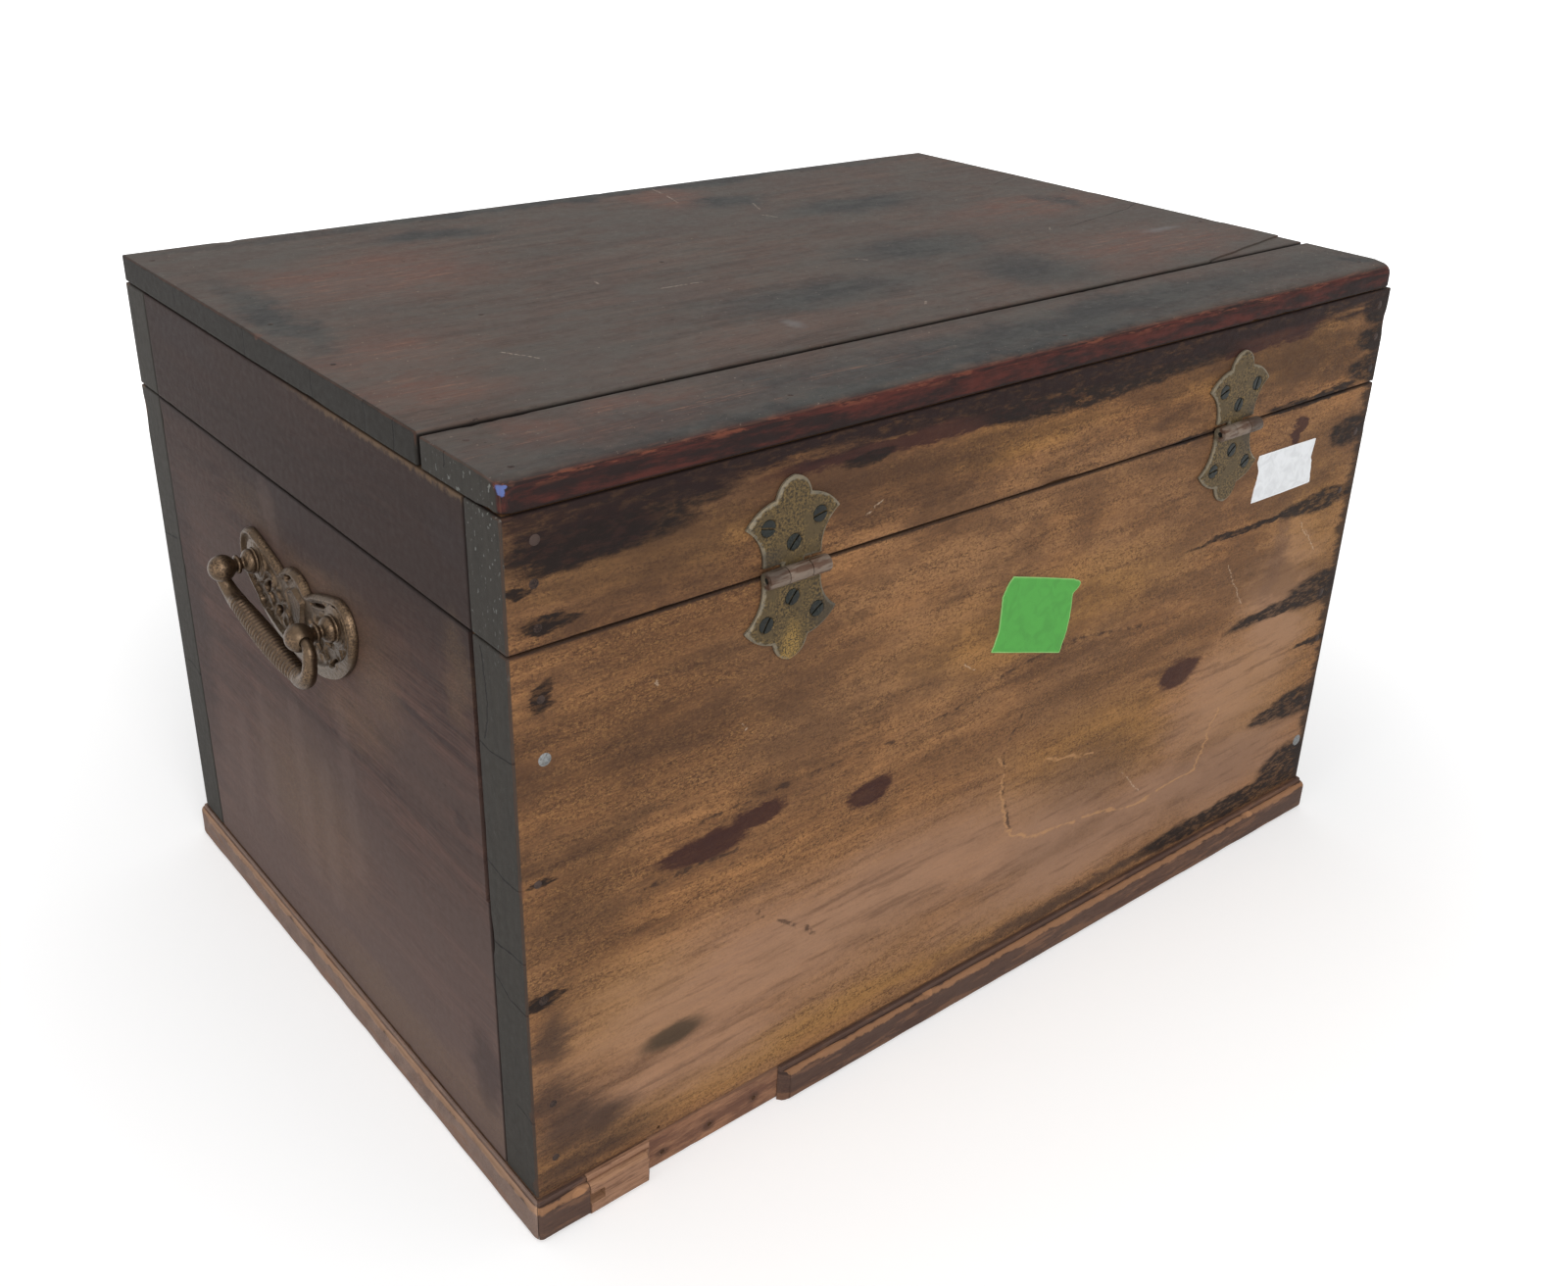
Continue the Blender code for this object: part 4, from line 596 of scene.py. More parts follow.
# Walls: four boards nailed at the corners, the long ones lapping over the ends. The case was
# glued up closed and the lid then sawn off it, so each lid strip carries on its wall's grain.
BACK_TONES = (tint(156, 111, 72), tint(118, 82, 55), tint(138, 101, 70), tint(60, 42, 31))
END_TONES = (tint(94, 70, 62), tint(58, 44, 41), tint(76, 61, 56), tint(42, 33, 31))
BLACK_STAINS = [(222, 299, 40, 9), (-60, 312, 200, 5), (-72, 306, 56, 8), (-20, 304, 60, 7),
                (130, 314, 135, 3.5), (-19, 311, 82, 7), (205, 306, 42, 6), (98, 301, 12, 3),
                (-170, 313, 90, 4), (-256, 306, 15, 8), (-256, 290, 19, 7), (-256, 273, 25, 8),
                (249, 304, 7, 4), (253, 288, 5, 3), (243, 273, 12, 3), (-245, 241, 18, 8),
                (-178, 204.5, 58, 2.0), (-228, 204, 34, 6), (-205, 146, 44, 4.5), (-240, 148, 28, 10),
                (-247, 115, 15, 2.5), (-242, 77, 26, 9), (-222, 76, 22, 5), (-190, 26, 76, 7),
                (-242, 34, 26, 15), (247, 246, 5, 5), (252, 169, 7, 2), (252, 116, 9, 3),
                (-120, 265, 30, 2), (-205, 266, 40, 3)]
MAROON_STAINS = [(87, 146, 14, 6.5), (178, 154, 22, 7), (150, 158, 18, 4), (-125, 134, 16, 9),
                 (225, 300, 30, 9), (60, 304, 90, 4), (-150, 306, 60, 5), (-196, 250, 6, 9)]
BROWN_STAINS = [(-60, 152, 44, 6), (-100, 158, 34, 5), (195, 215, 90, 36), (-204, 288, 40, 14),
                (235, 150, 30, 40), (60, 292, 120, 5), (190, 262, 70, 8), (186, 250, 50, 22),
                (-226, 284, 22, 12), (-60, 95, 40, 26), (-160, 60, 60, 22), (-198, 190, 8, 40),
                (225, 170, 12, 5), (-30, 172, 60, 4), (-60, 62, 60, 18)]
GOLDEN_PATCHES = [(-215, 170, 40, 70), (-170, 292, 75, 14), (190, 288, 60, 10), (20, 290, 60, 10),
                  (-20, 200, 90, 20), (215, 95, 40, 24), (120, 34, 120, 9), (-60, 110, 60, 30),
                  (-190, 100, 50, 40)]
WORN_PATCHES = [(-205, 138, 26, 46), (-172, 104, 40, 28), (-188, 56, 52, 22), (150, 82, 80, 26),
                (60, 88, 90, 22), (185, 52, 50, 14), (-20, 74, 60, 18), (-120, 62, 60, 14),
                (-60, 48, 80, 12)]
SOFT_DARK = [(250, 66, 14, 10), (244, 48, 16, 12), (236, 27, 34, 8), (252, 95, 8, 14), (-60, 24, 90, 4),
             (228, 42, 14, 8)]
OLIVE_STAINS = [(193, 68.5, 17, 6)]
DARK_LINES = [[(181, 166), (120, 167), (71, 166), (24, 170)], [(12, 176), (-40, 180), (-94, 172)],
              [(205, 147), (160, 147)], [(-5, 150), (4, 133), (2, 110), (-6, 86)], [(150, 110), (118, 84)]]
SCAR_LINES = [[(4.4, 133.1), (2, 110), (-3.5, 88), (-22, 76), (-66.5, 70), (-104, 62), (-153, 66),
               (-164, 98)], [(-30, 118), (-60, 108)]]
PALE_LINES = [[(-214, 196), (-221, 186)], [(-220, 190), (-231, 175)], [(-153, 186), (-171, 160)],
              [(-88, 88), (-104, 70)], [(128, 287), (127, 264)], [(92, 282), (99, 278)],
              [(160, 204), (158, 200)], [(200, 236), (198, 235)], [(36, 190), (30, 186)]]


def aged_back(place, colour, height, tone):
    """The back's clear varnish, crackled fine, burnt black and maroon by wet, and rubbed off low down."""
    flake = place_group(flake_group, {"Place": place * (0.7, 1, 1), "Flake": 0.65})
    streak = cloud(place * (0.02, 1, 0.22), 1.0, 4.0, 0.65)
    golden = stains(place, GOLDEN_PATCHES, 1, (16, 16, 8), (1.5, 0.2))
    brown = stains(place, BROWN_STAINS, 1, (10, 10, 5), (1.5, 0.3))
    worn_off = stains(place, WORN_PATCHES, 1, (20, 20, 7), (2.0, 0.4))
    kept = 1.0 - worn_off * 0.85
    crackled = kept * ramp(streak, 0.3, 0.62, 0.35, 1.0)
    colour = blend(golden * 0.45, colour, tint(158, 117, 62))
    colour = blend(brown * 0.68, colour, tint(84, 58, 40))
    colour = blend(worn_off * 0.6, colour, tint(158, 124, 102))
    colour = blend(ramp(streak, 0.52, 0.7) * 0.45, colour, tint(78, 54, 42))
    colour = blend(ramp(flake["Tone"], 0.6, 0.95) * (crackled * 0.2), colour, tint(182, 138, 84))
    colour = blend(ramp(flake["Tone"], 0.3, 0.1) * (crackled * 0.6), colour, tint(70, 48, 34))
    speck = cloud(place * (0.5, 1, 1.1), 1.5, 4.0, 0.8)
    colour = blend(ramp(speck, 0.52, 0.7) * (crackled * 0.42), colour, tint(184, 140, 88))
    colour = blend(ramp(speck, 0.46, 0.32) * (crackled * 0.5), colour, tint(62, 42, 31))
    dash = cloud(place * (0.14, 1, 0.8), 1.0, 5.0, 0.8)
    colour = blend(ramp(dash, 0.56, 0.68) * (crackled * 0.75), colour, tint(58, 38, 28))
    colour = blend(ramp(dash, 0.38, 0.28) * (crackled * 0.4), colour, tint(188, 142, 86))
    broken = ramp(cloud(place, 0.7, 2.0), 0.46, 0.64)
    colour = blend(flake["Crack"] * broken * (crackled * 0.6), colour, tint(44, 29, 21))
    x, _, z = split(place)
    grimy = ramp(cloud(place * (0.011, 1, 0.026), 1.0, 6.0, 0.7), 0.44, 0.6)
    grimy = grimy * ramp(z, 110.0, 190.0, 0.15, 0.62)
    colour = blend(grimy, colour, tint(84, 60, 44))
    toward_dark = ramp(z, 250.0, 285.0, -0.02, 0.13) + ramp(x, 60.0, 230.0, 0.0, 0.06)
    smoke = cloud(place * (0.016, 1, 0.06), 1.0, 6.0, 0.65)
    smoke = ramp(smoke + toward_dark, 0.5, 0.72)
    colour = blend(smoke * kept * 0.6, colour, tint(62, 44, 34))
    soft = stains(place, SOFT_DARK, 1, (10, 10, 6), (1.7, 0.3))
    colour = blend(soft * 0.75, colour, tint(50, 40, 38))
    olive = stains(place, OLIVE_STAINS, 1, (3, 3, 2), (1.25, 0.5))
    colour = blend(olive * 0.85, colour, tint(54, 46, 36))
    maroon = stains(place, MAROON_STAINS, 1, (8, 8, 4))
    colour = blend(maroon * 0.88, colour, tint(50, 28, 27))
    black = stains(place, BLACK_STAINS, 1, (7, 7, 3), (1.2, 0.8))
    flecked = ramp(cloud(place * (0.15, 1, 0.5), 1.0, 4.0, 0.7), 0.64, 0.44, 0.6, 0.97)
    colour = blend(black * flecked, colour, tint(27, 20, 18))
    under_top = z + (streak - 0.5) * 30.0
    under_top = ramp(under_top, 302.0, 311.0) * ramp(z, 299.0, 305.0)
    colour = blend(under_top * (flecked * 0.92), colour, tint(34, 22, 21))
    far_edge = x + (streak - 0.5) * 26.0
    colour = blend(ramp(far_edge, -250.0, -257.0, 0.0, 0.85), colour, tint(34, 26, 23))
    dark_line = strokes(place, DARK_LINES, 1, 1.3, (2, 2, 3))
    dark_line = dark_line * ramp(cloud(place, 0.2, 3.0), 0.42, 0.6)
    colour = blend(dark_line * 0.7, colour, tint(46, 34, 30))
    scar = strokes(place, SCAR_LINES, 1, 1.3, (6, 6, 3), 0.2)
    scar = scar * ramp(cloud(place, 0.12, 4.0), 0.34, 0.52)
    colour = blend(scar * 0.6, colour, tint(180, 136, 94))
    chalk = strokes(place, PALE_LINES, 1, 0.6, (2, 2, 2), 0.1)
    chalk = chalk * ramp(cloud(place, 0.8, 2.0), 0.4, 0.55)
    colour = blend(chalk * 0.45, colour, tint(196, 176, 152))
    return colour, height - flake["Crack"] * (crackled * 0.45) - scar


RUBBED_ENDS = [(28, 226, 62, 16), (64, 210, 26, 26), (-42, 244, 30, 12), (40, 178, 34, 14),
               (138, 240, 10, 24), (60, 34, 90, 14), (130, 36, 40, 16), (-20, 100, 60, 40)]
DARK_ENDS = [(-110, 306, 40, 8), (-10, 250, 60, 14), (96, 208, 16, 2.5), (134, 176, 7, 4),
             (138, 296, 14, 10), (20, 322, 18, 4), (-150, 150, 20, 90), (140, 60, 12, 22)]
DRIPS = [[(-30, 256), (-24, 238)], [(-68, 136), (-68, 70)], [(-26, 150), (-24, 66)], [(2, 132), (0, 60)],
         [(26, 176), (30, 96)], [(-100, 110), (-102, 60)]]


def aged_end(place, colour, height, tone):
    """The ends' dark stain: dry and speckled where rubbed, paler low down, marked by old drips."""
    _, y, z = split(place)
    low = ramp(z, 190.0, 40.0)
    colour = blend(low * 0.55, colour, tint(112, 94, 88))
    upper = ramp(z, 200.0, 275.0)
    colour = blend(upper * 0.84, colour, tint(40, 30, 28))
    speck = ramp(cloud(place * (1, 0.5, 1), 1.8, 4.0, 0.8), 0.42, 0.72)
    rubbed = stains(place, RUBBED_ENDS, 0, (10, 10, 8), (1.4, 0.3))
    colour = blend(rubbed * (0.08 + speck * 0.32), colour, tint(140, 112, 82))
    frayed = z + cloud(place, 0.25, 4.0, 0.7) * 9.0
    frayed = ramp(frayed, 316.5, 319.5) * ramp(y, -20.0, 70.0)
    colour = blend(frayed * 0.5, colour, tint(124, 101, 76))
    dark = stains(place, DARK_ENDS, 0, (6, 8, 4), (1.4, 0.5))
    colour = blend(dark * 0.5, colour, tint(48, 40, 40))
    drip = strokes(place, DRIPS, 0, 11.0, (3, 5, 3), 0.2)
    colour = blend(drip * 0.12, colour, tint(132, 112, 104))
    fine = ramp(cloud(place, 2.2, 2.0), 0.35, 0.65)
    colour = blend(fine * 0.15, colour, tint(60, 46, 42))
    return colour, height + speck * 0.15


LONG_WALL_CRACKS = [[(152, 222), (160, 221), (177, 224)], [(152, 171), (164, 168), (177, 169)],
                    [(152, 134), (177, 136)], [(152, 118), (163, 113), (177, 113)],
                    [(158, 262), (160, 240), (157, 225)], [(-179, 113), (-166, 115), (-154, 112)],
                    [(164, 60), (177, 58)], [(-179, 186), (-158, 188)]]
back_wood = dressed_wood("back_wood", BACK_TONES, aged_back, worn=tint(88, 60, 46), worn_share=0.4,
                         end_cracks=LONG_WALL_CRACKS, seed=11.0)
FRONT_RUBS = [(0, 236, 34, 26), (0, 258, 60, 5), (-120, 44, 90, 12), (140, 36, 80, 10), (0, 270, 70, 5),
              (-214, 230, 26, 30), (220, 110, 20, 50)]
FRONT_STAINS = [(-70, 306, 120, 8), (120, 310, 120, 5), (-252, 150, 8, 90), (252, 220, 8, 60),
                (60, 26, 160, 7), (90, 160, 30, 9), (-150, 110, 22, 7)]
FRONT_SCRATCHES = [[(40, 214), (58, 196)], [(-92, 150), (-120, 143)], [(150, 120), (158, 96)],
                   [(-30, 90), (-12, 84)], [(96, 290), (120, 284)], [(-190, 60), (-172, 66)],
                   [(12, 222), (4, 208)]]


def aged_front(place, colour, height, tone):
    """The stained front: handled pale round the keyhole, scuffed low down, dark under the lid's top."""
    speck = ramp(cloud(place * (0.5, 1, 1), 1.8, 4.0, 0.8), 0.42, 0.7)
    rubbed = stains(place, FRONT_RUBS, 1, (10, 10, 8), (1.5, 0.3))
    colour = blend(rubbed * (0.15 + speck * 0.35), colour, tint(136, 106, 82))
    dark = stains(place, FRONT_STAINS, 1, (8, 8, 4), (1.5, 0.5))
    colour = blend(dark * 0.6, colour, tint(38, 28, 27))
    scratch = strokes(place, FRONT_SCRATCHES, 1, 0.6, (2, 2, 2), 0.1)
    scratch = scratch * ramp(cloud(place, 0.8, 2.0), 0.4, 0.55)
    colour = blend(scratch * 0.5, colour, tint(168, 144, 122))
    return colour, height + speck * 0.15


front_wood = dressed_wood("front_wood", END_TONES, aged_front, end_cracks=LONG_WALL_CRACKS, seed=23.0)
end_wood = dressed_wood("end_wood", END_TONES, aged_end, turned_grain=True, end_grain=0.0, seed=31.0)
SHANK_HOLE, PILOT_HOLE, LOST_NAIL_HOLE = 2.25, 2.1, 0.8
THROUGH_WALL, PILOT_LENGTH, LOST_NAIL_LENGTH = 26, 16, 12
POST_SPACING, HANDLE_Z, INNER_Y = 40.5, 221.0, -154.2
HINGE_X, SADDLE_Z = 137.5, 264.75
SCREW_PLACES = ((-12.5, 20.0), (12.5, 20.0), (0.0, 11.5))
KEYHOLE_Z, KEYHOLE_RADIUS, KEYHOLE_DROP = 236.5, 1.9, 7.5
LOST_NAIL = (200.9, BACK_Y, 21.8)
OPEN_JOINT = [(235, 151.5), (265, 151.5), (265, 149.2), (235, 149.2)]
OPEN_JOINT_FOOT, OPEN_JOINT_HEAD = 150.0, 268.0
END_WALL_X = 250


def join_rings(shape, ring_pairs):
    """Faces between each pair of closed rings."""
    for ring, following in ring_pairs:
        for index, corner in enumerate(ring):
            after = (index + 1) % len(ring)
            shape.faces.new((corner, ring[after], following[after], following[index]))


def wedge(outline, low, high):
    """An upright prism cutter over an outline seen from above."""
    shape = bmesh.new()
    rings = [[shape.verts.new(metres((x, y, z))) for x, y in outline] for z in (low, high)]
    for ring in rings:
        shape.faces.new(ring)
    join_rings(shape, [rings])
    return as_mesh(shape, "wedge", turn_faces=True)


def screw_holes(z_sign):
    """The six hinge screws' holes in one of the boards at the back."""
    places = [(x_sign * HINGE_X + across, BACK_Y - 6, SADDLE_Z + z_sign * rise)
              for x_sign in (1, -1) for across, rise in SCREW_PLACES]
    return rods(places, PILOT_HOLE, "y", PILOT_LENGTH)


def post_holes(x):
    """The two holes of one handle's posts, through an end wall."""
    places = [(x, CASE_Y + way * POST_SPACING, HANDLE_Z) for way in (1, -1)]
    return rods(places, SHANK_HOLE, "x", THROUGH_WALL)


lock_mortise = room((-36.6, INNER_Y - 11.3, 226.2), (36.6, INNER_Y + 2, 267))
lock_rebate = room((-42.6, INNER_Y - 14.3, 262.4), (42.6, INNER_Y + 2, 267))
keyhole = rods([(0, -168, KEYHOLE_Z)], KEYHOLE_RADIUS, "y", THROUGH_WALL)
key_slot = room((-0.85, -181, KEYHOLE_Z - KEYHOLE_DROP), (0.85, -156, KEYHOLE_Z))
strike_rebate = room((-35.3, INNER_Y - 14.3, 263), (35.3, INNER_Y + 2, 266.9))
open_joint = wedge(OPEN_JOINT, OPEN_JOINT_FOOT, OPEN_JOINT_HEAD)
wall_cutters = {"front_wall": [lock_mortise, lock_rebate, keyhole, key_slot],
                "lid_front": [strike_rebate],
                "back_wall": [screw_holes(-1), rods([LOST_NAIL], LOST_NAIL_HOLE, "y", LOST_NAIL_LENGTH)],
                "lid_back": [screw_holes(1)],
                "end_wall_right": [post_holes(END_WALL_X), open_joint],
                "end_wall_left": [post_holes(-END_WALL_X)]}
walls = (("front_wall", "box", front_wood, "dark_wood"), ("back_wall", "box", back_wood, "golden_wood"),
         ("end_wall_right", "box", end_wood, "dark_wood"), ("end_wall_left", "box", end_wood, "dark_wood"),
         ("lid_front", "lid", front_wood, "dark_wood"), ("lid_back", "lid", back_wood, "golden_wood"),
         ("lid_end_right", "lid", end_wood, "dark_wood"), ("lid_end_left", "lid", end_wood, "dark_wood"))
for number, (node, body, wood, slot) in enumerate(walls):
    mesh = board_mesh(node, wood, seed=1.7 * number)
    if node in wall_cutters:
        mesh = cut_out(mesh, wall_cutters[node])
    add_piece(f"{node}_worn", finished_mesh(mesh, wood, SAWN_EDGE), body, [node])

# Base moulding: softwood strips with a rounded nose and a quirk, nailed round the bottom board
# and stained with it. Feet and floors have rubbed their upper edge and their corners to bare wood.
MOULDING_HEAD, MOULDING_SHOULDER, MOULDING_NOSE = 19.0, 17.0, 2.8
MOULDING_QUIRK_SHARE = 0.42
FAR_FROM_EDGE = 9.0
LONG_REACH, END_REACH = 5.0, 3.0
CASE_HALF_DEPTH = 177.0
MOULDING_STEP = 2.5
NICK_SIZE, NICK_DEPTH = 0.11, 1.5


def moulding_section():
    """(share of the reach, height, distance from the rubbed edge) from the foot up to the quirk's head."""
    points = [(0.3, 0.0, FAR_FROM_EDGE), (0.45, 0.05, FAR_FROM_EDGE)]
    for step in range(1, 6):
        angle = math.radians(90 * step / 5)
        points.append((0.45 + 0.55 * math.sin(angle), MOULDING_NOSE * (1 - math.cos(angle)), FAR_FROM_EDGE))
    for height in (5.0, 7.5, 10.0, 12.0, 13.4):
        points.append((1.0, height, MOULDING_SHOULDER - 1.5 - height))
    for step in range(1, 8):
        angle = math.radians(90 * step / 7)
        points.append((0.56 + 0.44 * math.cos(angle), MOULDING_SHOULDER - 2.6 + 2.6 * math.sin(angle),
                       abs(step - 4) * 0.35))
    points.append((0.48, MOULDING_SHOULDER - 0.25, 2.0))
    for inward, height in ((0, MOULDING_SHOULDER - 0.35), (0, 17.6), (0.02, 18.6), (0.1, MOULDING_HEAD)):
        points.append((MOULDING_QUIRK_SHARE - inward, height, FAR_FROM_EDGE))
    return points


MOULDING_SECTION = moulding_section()


def corner_run(x_sign, y_sign, from_degrees, to_degrees, steps=7):
    """(base place, outward reach) pairs that turn round one corner of the case."""
    run = []
    for step in range(steps + 1):
        angle = math.radians(from_degrees + (to_degrees - from_degrees) * step / steps)
        run.append((Vector((x_sign * END_X, CASE_Y + y_sign * CASE_HALF_DEPTH)),
                    Vector((END_REACH * math.cos(angle), LONG_REACH * math.sin(angle)))))
    return run


def back_end(x):
    """The one pair at an end on the back's straight stretch."""
    return [(Vector((x, BACK_Y)), Vector((0, LONG_REACH)))]


def filled_in(run):
    """The run with a station every few millimetres along its straight stretches."""
    stations = [run[0]]
    for (base, reach), (next_base, next_reach) in zip(run, run[1:]):
        steps = max(1, round((next_base - base).length / MOULDING_STEP))
        for step in range(1, steps + 1):
            share = step / steps
            stations.append((base.lerp(next_base, share), reach.lerp(next_reach, share)))
    return stations


def moulding_mesh(name, run, wood, proud=0.0, start_break=0.0, end_break=0.0, seed=0.0):
    """A worn strip lofted along its run. A break makes that end's face slant and splinter."""
    stations = filled_in(run)
    shape = bmesh.new()
    to_arris = shape.verts.layers.float.new("to_arris")
    chipped = shape.verts.layers.float.new("chipped")
    rings = []
    for number, (base, reach) in enumerate(stations):
        out, full = reach.normalized(), reach.length + proud
        breaking = start_break * (number == 0) + end_break * (number == len(stations) - 1)
        ring = []
        at_wall = 0.3 / full
        for share, height, distance in [(at_wall, 0.0, FAR_FROM_EDGE), *MOULDING_SECTION,
                                        (at_wall, MOULDING_HEAD, FAR_FROM_EDGE)]:
            spot = base + out * share * full
            spot = Vector((spot.x, spot.y, height))
            nick = max(0.0, noise.noise(spot * NICK_SIZE + Vector((seed, 0, 0))) - 0.28) / 0.3
            nick *= nick * max(0.0, 1 - distance / 3.0)
            dent = 0.25 * max(0.0, 0.5 + noise.noise(spot * 0.06)) * (share > 0.5)
            dent += NICK_DEPTH * min(1.0, nick)
            spot -= Vector((out.x, out.y, 0.35 if height > 8 else 0.0)) * min(dent, 0.6 * full)
            if breaking:
                splinter = noise.noise(Vector((share * 3, height * 0.5, seed)))
                spot.x += breaking * (full * (1 - share) - 0.6 * full + 1.6 * splinter)
            corner = shape.verts.new(spot * MM)
            corner[to_arris] = distance * MM
            corner[chipped] = min(1.0, nick)
            ring.append(corner)
        rings.append(ring)
    join_rings(shape, zip(rings, rings[1:]))
    shape.faces.new(reversed(rings[0]))
    shape.faces.new(rings[-1])
    return finished_mesh(as_mesh(shape, name, turn_faces=True), wood)


def aged_moulding(place, colour, height, tone):
    """Stain scuffed through along the strip, worst low down, with a line of grime under its upper bead."""
    z = split(place)[2]
    scuff = cloud(place * (0.03, 0.03, 0.22), 1.0, 5.0, 0.7)
    low = ramp(z, 9.0, 1.0, 0.0, 0.12)
    scuffed = ramp(scuff + low, 0.52, 0.62)
    colour = blend(scuffed * 0.42, colour, tint(130, 95, 72))
    line_darkening = ramp(maths("ABSOLUTE", z - 15.6), 1.2, 0.3) * ramp(scuff, 0.62, 0.45)
    colour = blend(line_darkening * 0.7, colour, tint(46, 34, 30))
    return colour, height + scuffed * 0.4


BACK_STRIP_TONES = (tint(94, 70, 58), tint(70, 52, 46), tint(82, 64, 56), tint(50, 38, 35))
base_back_wood = dressed_wood("base_back_wood", BACK_STRIP_TONES, aged_moulding, worn=tint(166, 122, 88),
                              worn_share=0.8, wear_width=1.1, anywhere=True, end_grain=0.0, line_darkening=0.0,
                              seed=51.0)
END_STRIP_TONES = (tint(140, 117, 105), tint(110, 91, 83), tint(126, 106, 96), tint(70, 56, 51))
base_end_wood = dressed_wood("base_end_wood", END_STRIP_TONES, aged_moulding, worn=tint(170, 134, 106),
                             worn_share=0.8, wear_width=1.4, anywhere=True, end_grain=0.0, line_darkening=0.0,
                             seed=53.0)


def torn_splinter(place, colour, height, tone):
    """A fresh, fibrous break, dirty along a few fibres."""
    fibre = cloud(place * (0.06, 0.8, 0.8), 1.0, 6.0, 0.75)
    colour = blend(ramp(fibre, 0.48, 0.62, 0.0, 0.7), colour, tint(92, 64, 50))
    return colour, height + fibre * 2.5


SPLINTER_TONES = (tint(164, 126, 100), tint(136, 101, 79), tint(150, 115, 92), tint(84, 60, 48))
splinter_wood = dressed_wood("splinter_wood", SPLINTER_TONES, torn_splinter, worn=tint(170, 130, 96),
                             worn_share=0.4, anywhere=True, end_grain=0.0, line_darkening=0.0, seed=57.0)
SPLIT_X, CORNER_X, SPLINTER_X = 135.0, 238.0, 207.5
MITRE = 43
STRIP_RUNS = (
    ("base_moulding_front", corner_run(-1, -1, 270 - MITRE, 270) + corner_run(1, -1, 270, 270 + MITRE)),
    ("base_moulding_right", corner_run(1, -1, -MITRE, 0) + corner_run(1, 1, 0, MITRE)),
    ("base_moulding_left", corner_run(-1, 1, 180 - MITRE, 180) + corner_run(-1, -1, 180, 180 + MITRE)),
    ("base_moulding_back_long", back_end(SPLIT_X) + corner_run(-1, 1, 90, 90 + MITRE)),
    ("base_moulding_back_corner", corner_run(1, 1, 90 - MITRE, 90) + back_end(CORNER_X + 0.3)))
for number, (node, run) in enumerate(STRIP_RUNS):
    wood = base_back_wood if "back" in node else base_end_wood
    start_break = 1.2 if node.endswith("long") else 0.0
    mesh = moulding_mesh(f"{node}_worn", run, wood, start_break=start_break, seed=3.1 * number)
    add_piece(f"{node}_worn", mesh, "box", [node])

SPLINTER_NOTCH = ((231.4, BACK_Y - 2, 6.8), (240.0, BACK_Y + 8, 12.3))
splinter = moulding_mesh("base_moulding_splinter_worn", back_end(CORNER_X) + back_end(SPLINTER_X),
                         splinter_wood, proud=0.6, end_break=-0.7, seed=19.0)
splinter = cut_out(splinter, [room(*SPLINTER_NOTCH)])
add_piece("base_moulding_splinter_worn", finished_mesh(splinter, splinter_wood), "box",
          ["base_moulding_back_splinter"])

# Lid top: one wide and one narrow board laid over the lid strips, the gap between them opened by
# shrinkage, with a long sliver split off the wide board and a thumb-worn back arris on the narrow one.
GAP_Y = 121.5
TOP_TONES = (tint(94, 77, 69), tint(68, 58, 53), tint(80, 71, 66), tint(46, 39, 37))
SLIVER_DROP, SLIVER_START, SPLIT_GAP = 0.8, -150, 0.6
SPLIT_FOOT, SPLIT_HEAD = 312, 332
RED_PATCHES = [(228, 34, 34, 26), (236, 84, 26, 20), (-180, 78, 70, 30), (-34, -146, 22, 24),
               (180, 142, 26, 18), (226, 142, 16, 12), (-200, -20, 60, 24), (180, -80, 60, 40),
               (150, 150, 110, 10)]
DARK_CLOUDS = [(-117, -78, 50, 17), (-60, -120, 22, 12), (-70, 20, 44, 24), (-86, 146, 8, 15),
               (-86, 146, 7, 13), (120, -135, 34, 12), (-90, 80, 26, 30), (0, -172, 240, 7),
               (-225, -20, 8, 20), (246, -40, 10, 60), (0, 152, 250, 16), (60, 168, 200, 6),
               (120, 148, 20, 12), (-245, 160, 8, 8), (30, 60, 60, 20)]
TOP_END_CRACKS = [[(-32, 329), (-31.5, 322), (-32.4, 315)], [(34.2, 329), (34.6, 315)],
                  [(80, 329), (80.6, 323), (79.8, 315)], [(103.5, 329), (103, 315)],
                  [(140, 329), (139.5, 322)], [(-110, 329), (-110.5, 321)]]
BLUE_CHIP = [(257.6, 324.0, 1.0, 1.7), (256.4, 325.0, 1.0, 0.6)]
PALE_CLOUDS = [(68, 90, 4, 7), (-215, 60, 14, 4)]
TOP_SCRATCHES = [[(-40, -172), (-38, -158)], [(-37, -152), (-32, -134)], [(190, 56), (182, 72)],
                 [(-56, -75), (-52, -84)], [(-162, 28), (-166, 24)], [(-30, 20), (-33, 24)],
                 [(100, -14), (101, -10)], [(-60, -96), (-66, -110)], [(0, 100), (-4, 96)],
                 [(84, 12), (60, 13)]]
TOP_CRACKS = [[(-190, -115), (-200, -96), (-226, -76), (-250, -84)], [(-178, 28), (-240, 16), (-258, 8)]]


